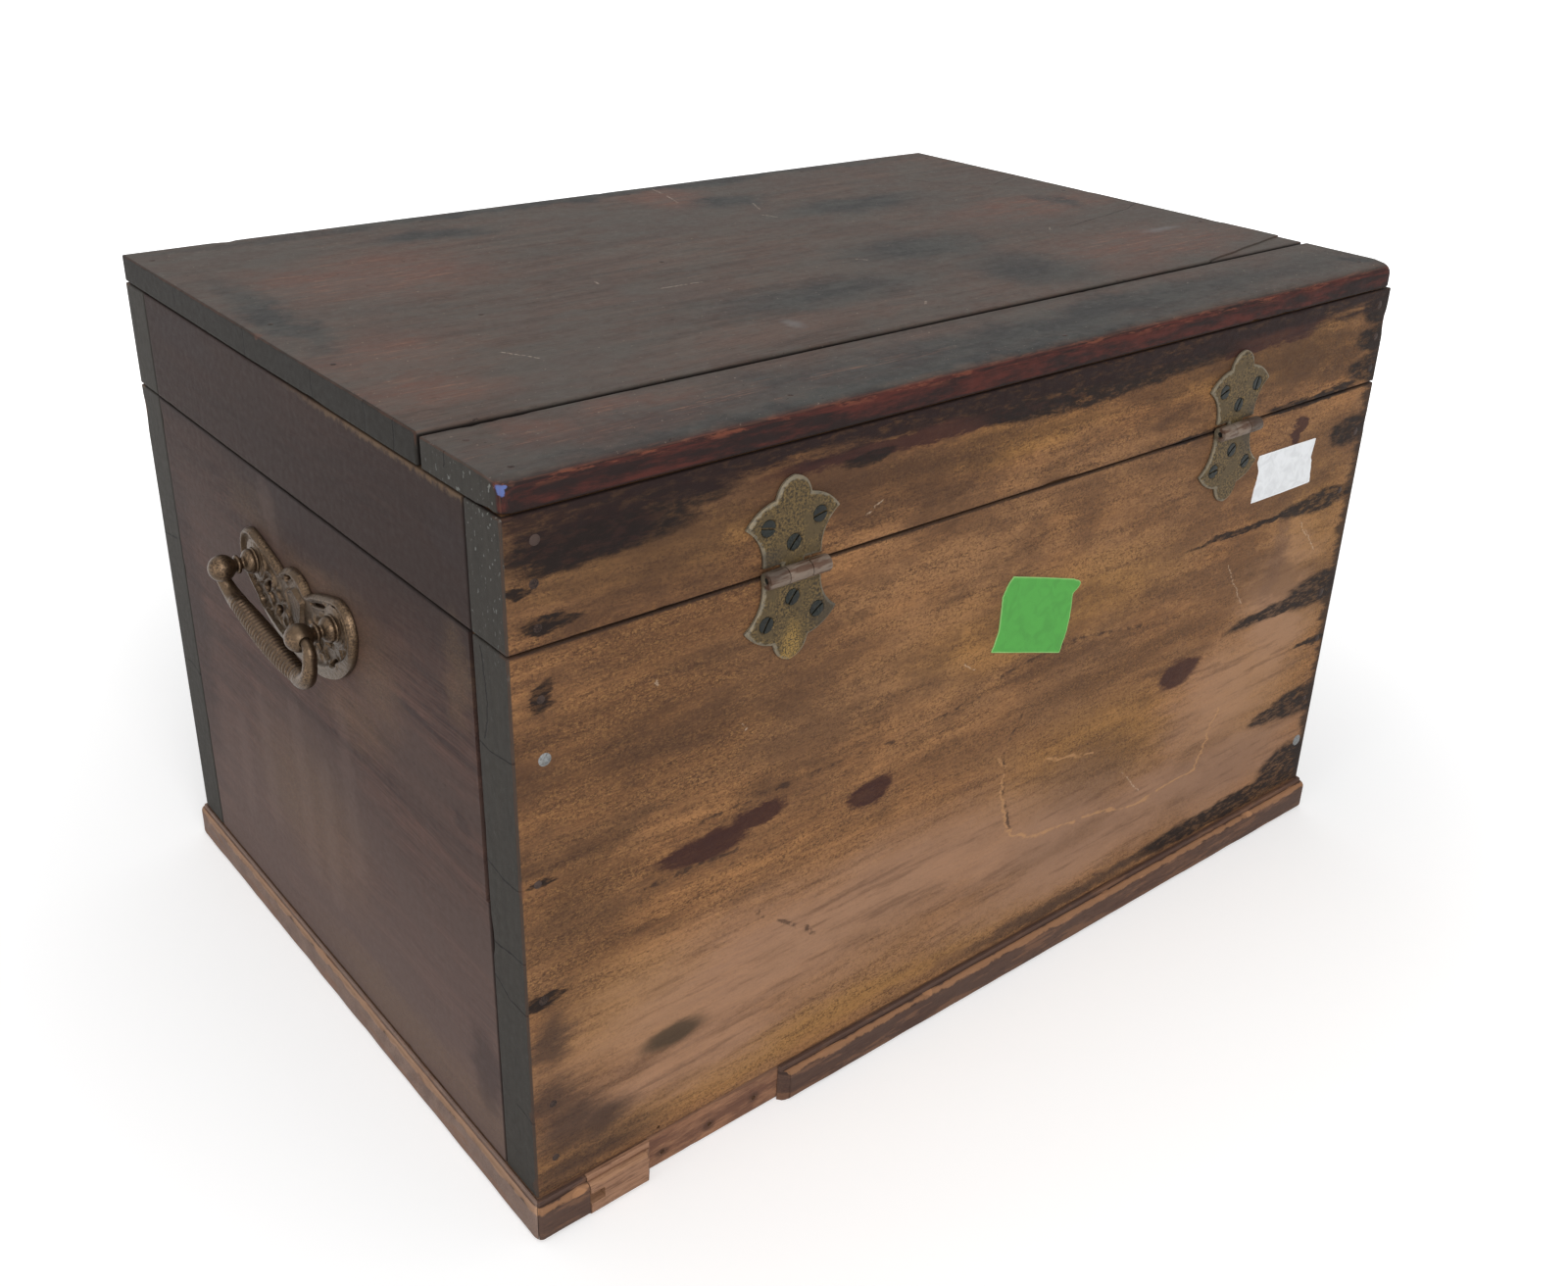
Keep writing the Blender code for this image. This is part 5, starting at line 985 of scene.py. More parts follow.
def aged_top(place, colour, height, tone):
    """The lid's top: its stain gone grey-green and dull with a painted grey sheen, red where it is thin,
    pitted and scratched, its board gap in painted shade.
    """
    _, y, z = split(place)
    red = stains(place, RED_PATCHES, 2, (16, 12, 4), (1.5, 0.3))
    red = red * ramp(tone, 0.3, 0.58)
    colour = blend(red * 0.62, colour, tint(106, 74, 64))
    dark = stains(place, DARK_CLOUDS, 2, (14, 12, 4), (1.6, 0.3))
    colour = blend(dark * 0.78, colour, tint(44, 47, 48))
    # Painted sheen: grey patches laid into the colour to stand in for light glancing off the top's varnish
    painted_sheen = ramp(cloud(place * (1, 2, 1), 0.035, 5.0, 0.7), 0.4, 0.62)
    colour = blend(painted_sheen * 0.35, colour, tint(84, 84, 79))
    pale = stains(place, PALE_CLOUDS, 2, (4, 4, 1), (1.5, 0.2))
    colour = blend(pale * 0.28, colour, tint(132, 136, 138))
    scratch = strokes(place, TOP_SCRATCHES, 2, 0.65, (1, 1, 1))
    scratch = scratch * ramp(cloud(place, 0.6, 2.0), 0.42, 0.55)
    colour = blend(scratch * 0.5, colour, tint(176, 160, 146))
    crack = strokes(place, TOP_CRACKS, 2, 0.5, (2, 2, 1))
    colour = blend(crack * 0.8, colour, tint(34, 28, 26))
    scuffed = ramp(cloud(place * (0.05, 0.6, 1), 1.0, 6.0, 0.75), 0.52, 0.66)
    colour = blend(scuffed * red * 0.55, colour, tint(140, 104, 86))
    dot = ramp(cloud(place, 0.5, 3.0, 0.7), 0.67, 0.72)
    colour = blend(dot * 0.5, colour, tint(160, 146, 130))
    pit = ramp(cloud(place + (31, 17, 5), 0.35, 3.0, 0.7), 0.67, 0.73)
    # Painted shade down the sides of the gap between the wide and the narrow board
    gap_shade = ramp(maths("ABSOLUTE", y - GAP_Y), 4.5, 3.5) * ramp(z, BOX_HEAD - 0.6, BOX_HEAD - 2.0)
    colour = blend(gap_shade, colour, tint(24, 20, 18))
    colour = blend(pit * 0.7, colour, tint(40, 34, 32))
    behind = ramp(y, BACK_Y - 9.0, BACK_Y - 4.0) * ramp(z, BOX_HEAD - 1.0, BOX_HEAD - 3.0)
    streak = ramp(cloud(place * (0.03, 1, 0.14), 1.0, 6.0, 0.7), 0.36, 0.6)
    edge_red = blend(streak, tint(74, 38, 33), tint(36, 26, 25))
    bared = ramp(cloud(place * (0.08, 0.5, 0.5), 1.0, 5.0, 0.7), 0.5, 0.62)
    bared = bared * ramp(z, BOX_HEAD - 6.0, BOX_HEAD - 3.0)
    edge_red = blend(bared * 0.7, edge_red, tint(112, 66, 50))
    colour = blend(behind, colour, edge_red)
    blue = stains(place, BLUE_CHIP, 1, (0.8, 0.4, 0.8), (1.2, 0.8))
    colour = blend(blue * ramp(y, BACK_Y - 7.0, BACK_Y - 5.0), colour, tint(84, 98, 146))
    return colour, height - (pit + crack)


top_wood = dressed_wood("top_wood", TOP_TONES, aged_top, finish_depth=4.0, worn=tint(100, 68, 55),
                        worn_share=0.4, wear_width=0.6, end_cracks=TOP_END_CRACKS, seed=41.0)
wide_low, wide_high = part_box("lid_top_wide_board")
wide_edge = wide_high.y / MM
sliver_edge = [(-180.0, wide_edge), (-192.0, wide_edge - 2.5), (-207.0, wide_edge - 4.7),
               (-219.0, wide_edge - 7.7), (-236.0, wide_edge - 10.2), (-249.0, wide_edge - 13.0),
               (-262.0, wide_edge - 14.9)]
outer_side = [(-262.0, wide_edge + 3), (-180.0, wide_edge + 3)]
wide = board_mesh("lid_top_wide_board", top_wood, arris=(1.0, 1.0, 1.0), chips=2.0, hollow=0.5, seed=20.0)
split_edge = [(x, y - SPLIT_GAP) for x, y in sliver_edge]
wide = cut_out(wide, [wedge(split_edge + outer_side, SPLIT_FOOT, SPLIT_HEAD)])
add_piece("lid_top_wide_board_worn", finished_mesh(wide, top_wood, SAWN_EDGE), "lid",
          ["lid_top_wide_board"])
sliver = grown_mesh("lid_top_sliver_worn", worn_board_tree,
                    {"Low": (-END_X * MM, wide_low.y, wide_low.z),
                     "High": (SLIVER_START * MM, wide_high.y, wide_high.z - SLIVER_DROP * MM),
                     "Arris": (MM, MM, MM), "Chips": 1.5 * MM, "Hollow": 0.4 * MM, "Seed": 20.0,
                     "Wood": top_wood})
sliver = cut_out(sliver, [wedge(sliver_edge + outer_side, SPLIT_FOOT, SPLIT_HEAD)], "INTERSECT")
add_piece("lid_top_sliver_worn", finished_mesh(sliver, top_wood, SAWN_EDGE), "lid", ["lid_top_sliver"])
narrow = board_mesh("lid_top_narrow_board", top_wood, arris=(1.0, 0.8, 0.8), back_arris=4.8, chips=1.8,
                    hollow=0.4, seed=33.0)
add_piece("lid_top_narrow_board_worn", finished_mesh(narrow, top_wood, SAWN_EDGE), "lid",
          ["lid_top_narrow_board"])

# Hinges: two pairs of cast butterfly leaves, brass gone dull and speckled, with three rolled
# knuckles on a steel pin, each leaf held by three slotted blued screws into the back boards.
HINGE_AXIS_Y = 179.7
KNUCKLE_RADIUS, KNUCKLE_BORE = 3.5, 1.4
BARREL_OFFSET = HINGE_AXIS_Y - BACK_Y
BARREL_HALF, MIDDLE_HALF, KNUCKLE_GAP = 15.0, 5.5, 0.3
LEAF_FACE, LEAF_SEAT, LEAF_BEVEL, LEAF_GRID = 1.9, 0.3, 1.3, 0.5
INNER_LINE, LINE_WIDTH, SCREW_DISH = 2.3, 0.22, 0.35
SCREW_RADIUS = 3.4


def bowed(start, end, bulge, steps):
    """Points after start up to end along a curve that bows to the right of its direction."""
    start, end = Vector(start), Vector(end)
    chord = end - start
    side = Vector((chord.y, -chord.x)).normalized()
    points = []
    for step in range(1, steps + 1):
        share = step / steps
        points.append(tuple(start + chord * share + side * bulge * 4 * share * (1 - share)))
    return points


def both_halves(half):
    """A half outline and its mirror image."""
    return list(half) + [(-across, up) for across, up in reversed(half) if across > 0.001]


def inside_distance(places, outline):
    """How far each place lies inside a closed outline, below zero where it is outside."""
    start = np.array(outline)
    end = np.roll(start, -1, axis=0)
    along = end - start
    offset = places[:, None, :] - start[None]
    share = np.clip((offset * along).sum(2) / np.maximum((along ** 2).sum(1), 1e-09), 0, 1)
    distance = np.sqrt(((offset - share[..., None] * along) ** 2).sum(2)).min(1)
    rises = (start[:, 1] <= places[:, None, 1]) != (end[:, 1] <= places[:, None, 1])
    with np.errstate(divide="ignore", invalid="ignore"):
        crossing = start[:, 0] + (places[:, None, 1] - start[:, 1]) * along[:, 0] / along[:, 1]
    inside = (rises & (places[:, None, 0] < crossing)).sum(1) % 2 == 1
    return np.where(inside, distance, -distance)


def step_up(value, start, end):
    """Rises smoothly from 0 at the start value to 1 at the end value."""
    share = np.clip((value - start) / (end - start), 0, 1)
    return share * share * (3 - 2 * share)


def cast_plate(name, outline, holes, face_height, seat, spacing):
    """A plate cast in relief: a fine grid cut to its outline and openings, with walls and a flat back.
    Millimetres in its own frame: X across, Y up, Z out from the wood."""
    low, high = np.min(outline, axis=0) - 2 * spacing, np.max(outline, axis=0) + 2 * spacing
    across = np.arange(low[0], high[0], spacing)
    up = np.arange(low[1], high[1], spacing)
    grid = np.stack(np.meshgrid(across, up, indexing="ij"), axis=2)
    flat = grid.reshape(-1, 2)
    outer = inside_distance(flat, outline).reshape(grid.shape[:2])
    clear = np.full(outer.shape, 99.0)
    for hole in holes:
        clear = np.minimum(clear, -inside_distance(flat, hole).reshape(outer.shape))
    field = np.minimum(outer, clear)
    slope = np.stack(np.gradient(field, spacing), axis=2)
    slope /= np.maximum(np.linalg.norm(slope, axis=2, keepdims=True), 1e-06)
    near = np.abs(field) < 0.5 * spacing
    snapped = np.where(near[..., None], grid - slope * field[..., None], grid)
    field = np.where(near, 0, field)
    height = face_height(snapped[..., 0], snapped[..., 1], np.maximum(outer, 0), np.maximum(clear, 0))
    usable = field >= 0
    shape = bmesh.new()
    to_arris = shape.verts.layers.float.new("to_arris")
    shape.verts.layers.float.new("chipped")
    fronts, backs = {}, {}

    def corner(i, j):
        if (i, j) not in fronts:
            x, y = snapped[i, j]
            fronts[i, j] = shape.verts.new((x, y, height[i, j]))
            backs[i, j] = shape.verts.new((x, y, seat))
            fronts[i, j][to_arris] = field[i, j] * MM
        return i, j

    open_edges = {}
    for i in range(field.shape[0] - 1):
        for j in range(field.shape[1] - 1):
            around = [(i, j), (i + 1, j), (i + 1, j + 1), (i, j + 1)]
            kept = [place for place in around if usable[place]]
            if len(kept) < 3:
                continue
            kept = [corner(*place) for place in kept]
            shape.faces.new([fronts[place] for place in kept])
            shape.faces.new([backs[place] for place in reversed(kept)])
            for first, second in zip(kept, kept[1:] + kept[:1]):
                if (second, first) in open_edges:
                    del open_edges[second, first]
                else:
                    open_edges[first, second] = True
    for first, second in open_edges:
        shape.faces.new((fronts[second], fronts[first], backs[first], backs[second]))
    return as_mesh(shape, name)


def leaf_half_outline(foot):
    """Half of a leaf, from its foot beside the barrel out along its hollow and swelling edges to its tip."""
    waist, wing, shoulder, tip = (14.2, 6.0), (22.7, 21.2), (8.5, 30.0), (0.0, 38.5)
    outline = [(14.2, foot), waist] + bowed(waist, wing, -2.2, 12)
    return outline + bowed(wing, shoulder, 1.7, 12) + bowed(shoulder, tip, 2.1, 12)


def leaf_height(across, up, inward, clear):
    """The leaf's face: bevelled edges, a scratched inner line, and a dish round each screw."""
    line = np.exp(-((inward - INNER_LINE) / LINE_WIDTH) ** 2)
    face = LEAF_FACE - 0.75 * (1 - step_up(inward, 0.0, LEAF_BEVEL)) - 0.1 * line
    dish = SCREW_RADIUS + SCREW_DISH
    for x, y in SCREW_PLACES:
        away = np.hypot(across - x, up - y)
        face = np.where(away < dish, face - 0.9 * step_up(dish - away, 0, 0.5), face)
    return face


def turned_tube(name, start, length, steps=36):
    """A rolled knuckle about the hinge axis, with its ends a little rounded and its bore open."""
    low, high, rim = start, start + length, 0.35
    section = [(low, KNUCKLE_BORE), (low, KNUCKLE_RADIUS - rim),
               (low + rim * 0.3, KNUCKLE_RADIUS - rim * 0.3), (low + rim, KNUCKLE_RADIUS),
               (high - rim, KNUCKLE_RADIUS), (high - rim * 0.3, KNUCKLE_RADIUS - rim * 0.3),
               (high, KNUCKLE_RADIUS - rim), (high, KNUCKLE_BORE)]
    shape = bmesh.new()
    rings = []
    for step in range(steps):
        out, up = math.cos(2 * math.pi * step / steps), math.sin(2 * math.pi * step / steps)
        rings.append([shape.verts.new((place, radius * out, BARREL_OFFSET + radius * up))
                      for place, radius in section])
    join_rings(shape, zip(rings, rings[1:] + rings[:1]))
    return as_mesh(shape, name, turn_faces=True)


TO_METRES = Matrix.Scale(MM, 4)


def moved(*place):
    """A shift by so many millimetres."""
    return Matrix.Translation(metres(place))


def turned_by(*degrees):
    """A turn about X, then Y, then Z."""
    return Euler([math.radians(way) for way in degrees]).to_matrix().to_4x4()


def hinge_leaf(name, owns_middle, place, metal):
    """One leaf in its own frame, joined to its knuckles, then placed on the case."""
    foot = KNUCKLE_RADIUS + KNUCKLE_GAP
    if owns_middle:
        half = [(MIDDLE_HALF, 0.0), (MIDDLE_HALF, foot), *leaf_half_outline(foot)]
        knuckles = [(-MIDDLE_HALF, 2 * MIDDLE_HALF)]
    else:
        inner = MIDDLE_HALF + KNUCKLE_GAP
        half = [(0.0, foot), (inner, foot), (inner, 0.0), *leaf_half_outline(0.0)]
        knuckles = [(-BARREL_HALF, BARREL_HALF - inner), (inner, BARREL_HALF - inner)]
    leaf = cast_plate(name, both_halves(half), (), leaf_height, LEAF_SEAT, LEAF_GRID)
    leaf = cut_out(leaf, [turned_tube("knuckle", *knuckle) for knuckle in knuckles], "UNION")
    leaf.transform(place @ TO_METRES)
    return finished_mesh(leaf, metal)


def metal_finish(name, tones, edge_tone, deposit, roughness=0.45, metallic=0.85, speck=0.9, edges=0.7,
                 layers=None):
    """Cast metal gone dull: speckled tones, rubbed edges and patches of crust."""
    material, surface, place = new_finish(name)
    fine, broad = cloud(place, speck, 4.0, 0.7), cloud(place, 0.09, 3.0, 0.6)
    colour = blend(ramp(fine, 0.4, 0.6), tones[0], tones[1])
    colour = blend(ramp(broad, 0.45, 0.65), colour, tones[2])
    wear = place_group(wear_group, {"Place": place * 3.0, "Width": 1.0})
    colour = blend(wear["Wear"] * edges, colour, edge_tone)
    crust = ramp(cloud(place, 0.35, 5.0, 0.7), 0.56, 0.68)
    colour = blend(crust * 0.6, colour, deposit)
    if layers:
        colour = layers(place, colour)
    set_inputs(surface, {"Base Color": colour, "Roughness": roughness + (crust + fine) * 0.2,
                         "Normal": bump(fine + crust * 0.5, 0.4, 0.2), "Metallic": metallic,
                         "Specular IOR Level": 0.25})
    return material


def worn_barrel(place, colour):
    """The barrel is rubbed to a greyish pink with a brown band, and the body leaf's tip is golden."""
    out = ramp(split(place)[1], BACK_Y + 2.6, BACK_Y + 4.0)
    streak = cloud(place * (0.08, 0.5, 0.5), 1.0, 3.0)
    barrel = blend(ramp(streak, 0.42, 0.56), tint(118, 103, 92), tint(80, 55, 44))
    colour = blend(out * 0.85, colour, barrel)
    golden = stains(place, [(HINGE_X, 229, 5, 13)], 1, (3, 1, 3), (1.5, 0.5))
    speck = ramp(cloud(place, 1.3, 3.0), 0.42, 0.56)
    colour = blend(golden * (speck * 0.75), colour, tint(156, 124, 66))
    dark = stains(place, [(119, 243, 9, 8), (150, 270, 6, 5), (-150, 262, 8, 12)], 1, (3, 1, 3), (1.5, 0.5))
    return blend(dark * 0.55, colour, tint(52, 47, 42))


hinge_brass = metal_finish("hinge_brass", (tint(104, 85, 52), tint(50, 42, 30), tint(78, 65, 43)),
                           tint(138, 130, 114), tint(50, 42, 34), roughness=0.5, metallic=0.3, edges=0.5,
                           layers=worn_barrel)
blued_steel = metal_finish("blued_steel", (tint(42, 45, 42), tint(27, 30, 28), tint(36, 38, 36)),
                           tint(120, 124, 130), tint(36, 32, 30), roughness=0.4, metallic=0.5, edges=0.0)
for side, x_sign in (("right", 1), ("left", -1)):
    seat = moved(x_sign * HINGE_X, BACK_Y, SADDLE_Z)
    for leaf, turn, body in (("lid", turned_by(90, 0, 180), "lid"), ("body", turned_by(-90, 0, 0), "box")):
        name = f"hinge_{leaf}_leaf_{side}_cast"
        mesh = hinge_leaf(name, leaf == "lid", seat @ turn, hinge_brass)
        add_piece(name, mesh, body, [f"hinge_{leaf}_leaf_{side}"])

SCREW_HEAD_DEPTH, SCREW_SHANK, SCREW_LENGTH, SCREW_SLOT = 1.9, 1.5, 12.5, 0.9
SCREW_TURNS = (12, -14, 48, 35, 60, 52, 75, 20, 65, 30, 8, 40)


def turned(section, steps):
    """A turned form about Z from its (radius, height) section, from the top down its outer side."""
    shape = bmesh.new()
    rings = []
    for radius, height in section:
        if radius < 1e-06:
            rings.append([shape.verts.new((0, 0, height))] * steps)
        else:
            angles = [2 * math.pi * step / steps for step in range(steps)]
            rings.append([shape.verts.new((radius * math.cos(angle), radius * math.sin(angle), height))
                          for angle in angles])
    for ring, following in zip(rings, rings[1:]):
        for step in range(steps):
            after = (step + 1) % steps
            corners = list(dict.fromkeys((ring[step], following[step], following[after], ring[after])))
            if len(corners) > 2:
                shape.faces.new(corners)
    return as_mesh(shape, "turned", turn_faces=True)


def own_number(tree, label):
    """A number that each point carries, for a Geometry Nodes tree."""
    return add_node(tree, "GeometryNodeInputNamedAttribute", {"Name": label}, data_type="FLOAT")[0]


def make_spread_tree():
    """Sets one small fitting on every point of a mesh, each turned about its own axis."""
    tree, given, end = new_group("spread_fittings", "GeometryNodeTree",
                                 [("Points", GEOMETRY, None), ("Fitting", "NodeSocketObject", None),
                                  ("Face", VECTOR, None), ("Metal", MATERIAL, None)],
                                 [("Fittings", GEOMETRY)])
    fitting = add_node(tree, "GeometryNodeObjectInfo", {"Object": given["Fitting"]})["Geometry"]
    turn, size = own_number(tree, "turn"), own_number(tree, "size")
    spin = add_node(tree, "FunctionNodeAxisAngleToRotation", {"Axis": (0, 0, 1), "Angle": turn})[0]
    face = add_node(tree, "FunctionNodeEulerToRotation", {0: given["Face"]})[0]
    both = add_node(tree, "FunctionNodeRotateRotation", {0: face, 1: spin}, rotation_space="LOCAL")[0]
    points = add_node(tree, "GeometryNodeMeshToPoints", {0: given["Points"]})[0]
    values = {"Points": points, "Instance": fitting, "Rotation": both, "Scale": joined(size, size, size)}
    end_tree(end, add_node(tree, "GeometryNodeInstanceOnPoints", values)[0], given["Metal"])
    return tree


def spread_mesh(name, places, fitting, face, metal, sharp_degrees=35):
    """Fittings at their places: each is a place in millimetres, a turn in degrees and a size."""
    points = bpy.data.meshes.new(name)
    points.from_pydata([metres(place) for place, turn, size in places], [], [])
    for label, values in (("turn", [math.radians(turn) for place, turn, size in places]),
                          ("size", [size * MM for place, turn, size in places])):
        points.attributes.new(label, "FLOAT", "POINT").data.foreach_set("value", values)
    pattern = bpy.data.objects.new("pattern", fitting)
    scene.collection.objects.link(pattern)
    mesh = grown_mesh(name, spread_tree, {"Fitting": pattern, "Face": face, "Metal": metal}, base=points)
    bpy.data.objects.remove(pattern, do_unlink=True)
    return finished_mesh(mesh, metal, sharp_degrees)


spread_tree = make_spread_tree()
screw = turned([(0, -0.25), (1.5, -0.12), (SCREW_RADIUS - 0.35, 0), (SCREW_RADIUS, -0.18),
                (SCREW_RADIUS - 0.1, -0.5), (SCREW_SHANK, -SCREW_HEAD_DEPTH),
                (SCREW_SHANK, 2.5 - SCREW_LENGTH), (0, -SCREW_LENGTH)], 28)
screw = cut_out(screw, [block((-5, -SCREW_SLOT / 2, -SCREW_SLOT), (5, SCREW_SLOT / 2, 2))])
turns = iter(SCREW_TURNS)
screw_places = {"lid": [], "body": []}
for side, x_sign in (("right", 1), ("left", -1)):
    for leaf, z_sign in (("lid", 1), ("body", -1)):
        for across, rise in SCREW_PLACES:
            place = (x_sign * HINGE_X + across, BACK_Y + LEAF_FACE - 0.05, SADDLE_Z + z_sign * rise)
            screw_places[leaf].append((place, next(turns), 1.0))
for leaf, body in (("lid", "lid"), ("body", "box")):
    name = f"hinge_screws_{leaf}"
    mesh = spread_mesh(name, screw_places[leaf], screw, (math.radians(-90), 0, 0), blued_steel)
    nodes = [f"hinge_screw_{leaf}_{side}_{number}" for side in ("right", "left") for number in (1, 2, 3)]
    add_piece(name, mesh, body, nodes)


def dress(node, material):
    """Gives a CAD node that stays as it is its finish."""
    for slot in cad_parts[node].material_slots:
        slot.material = material


for side in ("right", "left"):
    dress(f"hinge_pin_{side}", blued_steel)

# Nails: driven through the long walls into the ends, and down through the lid's top. Most heads
# are iron rusted dark, and two on the back are larger, plated and pale.
NAIL_HEAD = 2.1
back_nails = {"lid": [(247.1, 304.9, 1.1), (248.2, 289.2, 1.0), (247.5, 272.5, 0.9), (-251.4, 307.2, 1.1),
                      (-253.5, 290.3, 1.0), (-253.7, 273.3, 1.1)],
              "box": [(247.6, 245.0, 0.9), (247.2, 220.7, 1.5), (252.4, 169.5, 0.9), (252.4, 116.3, 1.1),
                      (-251.2, 238.6, 1.2), (-246.8, 205.9, 1.0), (-247.6, 144.6, 1.3),
                      (-252.9, 114.2, 1.0), (-251.6, 75.8, 0.9), (-251.9, 47.4, 1.9), (250.5, 64.0, 0.9),
                      (250.5, 36.0, 0.9)]}
top_nails = [(251.8, -159.5), (248.4, -29.8), (250.3, 34.5), (170.1, 4.8), (248.4, 134.7), (248.5, 164.8),
             (-18.3, 166.6), (-246.4, 162.7), (127.6, 160.9), (-145.2, 166.0), (53.6, -28.0),
             (-250.0, -160.0), (-249.0, -40.0), (-250.5, 60.0), (110.0, -167.0), (-20.0, -166.0),
             (-150.0, -167.5)]
NAIL_TURN_BACK, NAIL_TURN_FRONT = (math.radians(-90), 0, 0), (math.radians(90), 0, 0)
nail_iron = metal_finish("nail_iron", (tint(62, 48, 42), tint(36, 29, 27), tint(70, 57, 52)),
                         tint(150, 142, 134), tint(40, 30, 27), roughness=0.55, metallic=0.5, speck=1.6,
                         edges=0.0)
nail_zinc = metal_finish("nail_zinc", (tint(132, 134, 134), tint(104, 106, 106), tint(146, 142, 136)),
                         tint(150, 142, 134), tint(84, 74, 66), roughness=0.5, metallic=0.4, speck=1.6,
                         edges=0.0)
ZINC_SIZE, TOP_NAIL, NARROW_DROP = 1.5, 1.5, 0.7
SUNK_IN_WALL, SUNK_IN_TOP = 0.12, 0.25
nail = turned([(0, 0.12), (0.45, 0.1), (0.8, 0.03), (1.0, -0.1), (1.0, -0.35), (0.4, -0.5), (0.4, -4.0),
               (0, -4.4)], 20)
nail_rows = []
for body, spots in back_nails.items():
    dark, pale, ahead = [], [], []
    for number, (x, z, size) in enumerate(spots):
        row = pale if size >= ZINC_SIZE else dark
        row.append(((x, BACK_Y - SUNK_IN_WALL, z), 37 * number, NAIL_HEAD * size))
        ahead.append(((-x, FRONT_Y + SUNK_IN_WALL, z), 53 * number, NAIL_HEAD))
    nail_rows += [(f"{body}_nails_back", dark, NAIL_TURN_BACK, body, nail_iron),
                  (f"{body}_nails_pale", pale, NAIL_TURN_BACK, body, nail_zinc),
                  (f"{body}_nails_front", ahead, NAIL_TURN_FRONT, body, nail_iron)]
tops = []
for number, (x, y) in enumerate(top_nails):
    face_z = BOX_HEAD - NARROW_DROP * (y > GAP_Y)
    tops.append(((x, y, face_z - SUNK_IN_TOP), 61 * number, TOP_NAIL))
nail_rows.append(("lid_nails_top", tops, (0, 0, 0), "lid", nail_iron))
for name, places, face, body, metal in nail_rows:
    if places:
        add_piece(name, spread_mesh(name, places, nail, face, metal), body, ())

# Handles: on each end a pierced plate cast in relief, two ball posts that pass through the wall
# to square nuts, and a ribbed bail hooked into the balls. Bronze, brown and crusted with grey.
PLATE_HALF, PLATE_DROP, PLATE_LOBE, PLATE_CREST = 56.0, 33.5, 12.8, 9.8
PLATE_FIELD, PLATE_RIM, PLATE_SEAT, PLATE_GRID = 1.9, 3.9, 0.3, 0.45
FOOT_RIM_WIDTH, HEAD_RIM_WIDTH = 6.2, 1.9
ROSETTE_STEPS = ((10.0, 1.3), (8.3, 0.5), (6.9, 0.3))
PIERCINGS = ((0.42, 0.052, 0.135, 0.013, 17), (0.092, 0.088, 0.06, 0.012, -28),
             (0.535, -0.155, 0.085, 0.036, -43), (0.345, -0.285, 0.075, 0.033, -27),
             (0.64, -0.335, 0.06, 0.022, 32))
# Raised scrolls on one half: centre, radius, where each starts and ends in degrees, and its height
SCROLLS = ((0.46, -0.1, 0.105, 20, 250, 0.9), (0.3, -0.13, 0.08, -170, 60, 0.8),
           (0.55, -0.3, 0.095, 60, 300, 0.8), (0.24, -0.33, 0.085, 100, 330, 0.8),
           (0.7, -0.22, 0.08, -60, 110, 0.7), (0.4, -0.4, 0.07, 10, 200, 0.6),
           (0.86, -0.17, 0.055, 60, 320, 0.7), (0.18, 0.03, 0.05, -20, 200, 0.5),
           (0.47, -0.47, 0.08, 40, 150, 0.5))


def smoothed(points, steps=5, closed=True):
    """A smooth curve through the points."""
    count = len(points)
    made = []
    for index in range(count if closed else count - 1):
        near = range(index - 1, index + 3)
        around = [points[way % count if closed else min(max(way, 0), count - 1)] for way in near]
        before, start, end, after = [np.array(point, float) for point in around]
        for step in range(steps):
            t = step / steps
            made.append(tuple(0.5 * (2 * start + (end - before) * t
                                     + (2 * before - 5 * start + 4 * end - after) * t * t
                                     + (3 * start - before - 3 * end + after) * t ** 3)))
    return made if closed else made + [tuple(points[-1])]


FOOT_EDGE = ((0.0, -1.0), (0.2, -0.99), (0.38, -0.95), (0.6, -0.82), (0.78, -0.63), (0.93, -0.36),
             (1.0, -0.04))
LOBE_EDGE = ((0.985, 0.45), (0.93, 0.82), (0.84, 1.0), (0.72, 0.99))
CREST_EDGE = [(22.0, 7.4), (14.8, 4.3), (12.2, 4.6), (9.4, 7.2), (5.0, 9.2), (0.0, PLATE_CREST)]


def plate_outline():
    """The backplate's outline: its foot, its lobes beside the posts and its crest, mirrored."""
    foot = [(across * PLATE_HALF, up * PLATE_DROP) for across, up in FOOT_EDGE]
    lobe = [(across * PLATE_HALF, up * PLATE_LOBE) for across, up in LOBE_EDGE]
    # One point short: the foot's middle is nearly straight, and the outline closes over it
    return both_halves(smoothed(foot + lobe + CREST_EDGE, 4, closed=False))[:-1]


def piercing_outlines():
    """Leaf-shaped openings, the same in both halves of the plate."""
    outlines = []
    for x_sign in (1, -1):
        for centre_x, centre_z, half_long, half_short, degrees in PIERCINGS:
            turn_x, turn_z, outline = math.cos(math.radians(degrees)), math.sin(math.radians(degrees)), []
            for step in range(20):
                angle = 2 * math.pi * step / 20
                along = half_long * math.cos(angle)
                across = half_short * math.sin(angle) * (1 + 0.45 * math.cos(angle))
                outline.append((x_sign * PLATE_HALF * (centre_x + along * turn_x - across * turn_z),
                                PLATE_HALF * (centre_z + along * turn_z + across * turn_x)))
            outlines.append(outline)
    return outlines


def shield_inward(across, up):
    """How far inside the little shield a place lies."""
    side = np.abs(across)
    outline = [(0, -24), (2.6, -19), (5.6, -12), (7.8, -6), (8.5, -1.5), (5.5, -0.9), (3.2, 0.4), (0, 1.8)]
    outline = smoothed(outline + [(-x, y) for x, y in outline[-2:0:-1]], 3)
    flat = np.stack([across.ravel(), up.ravel()], axis=1)
    return inside_distance(flat, outline).reshape(side.shape)


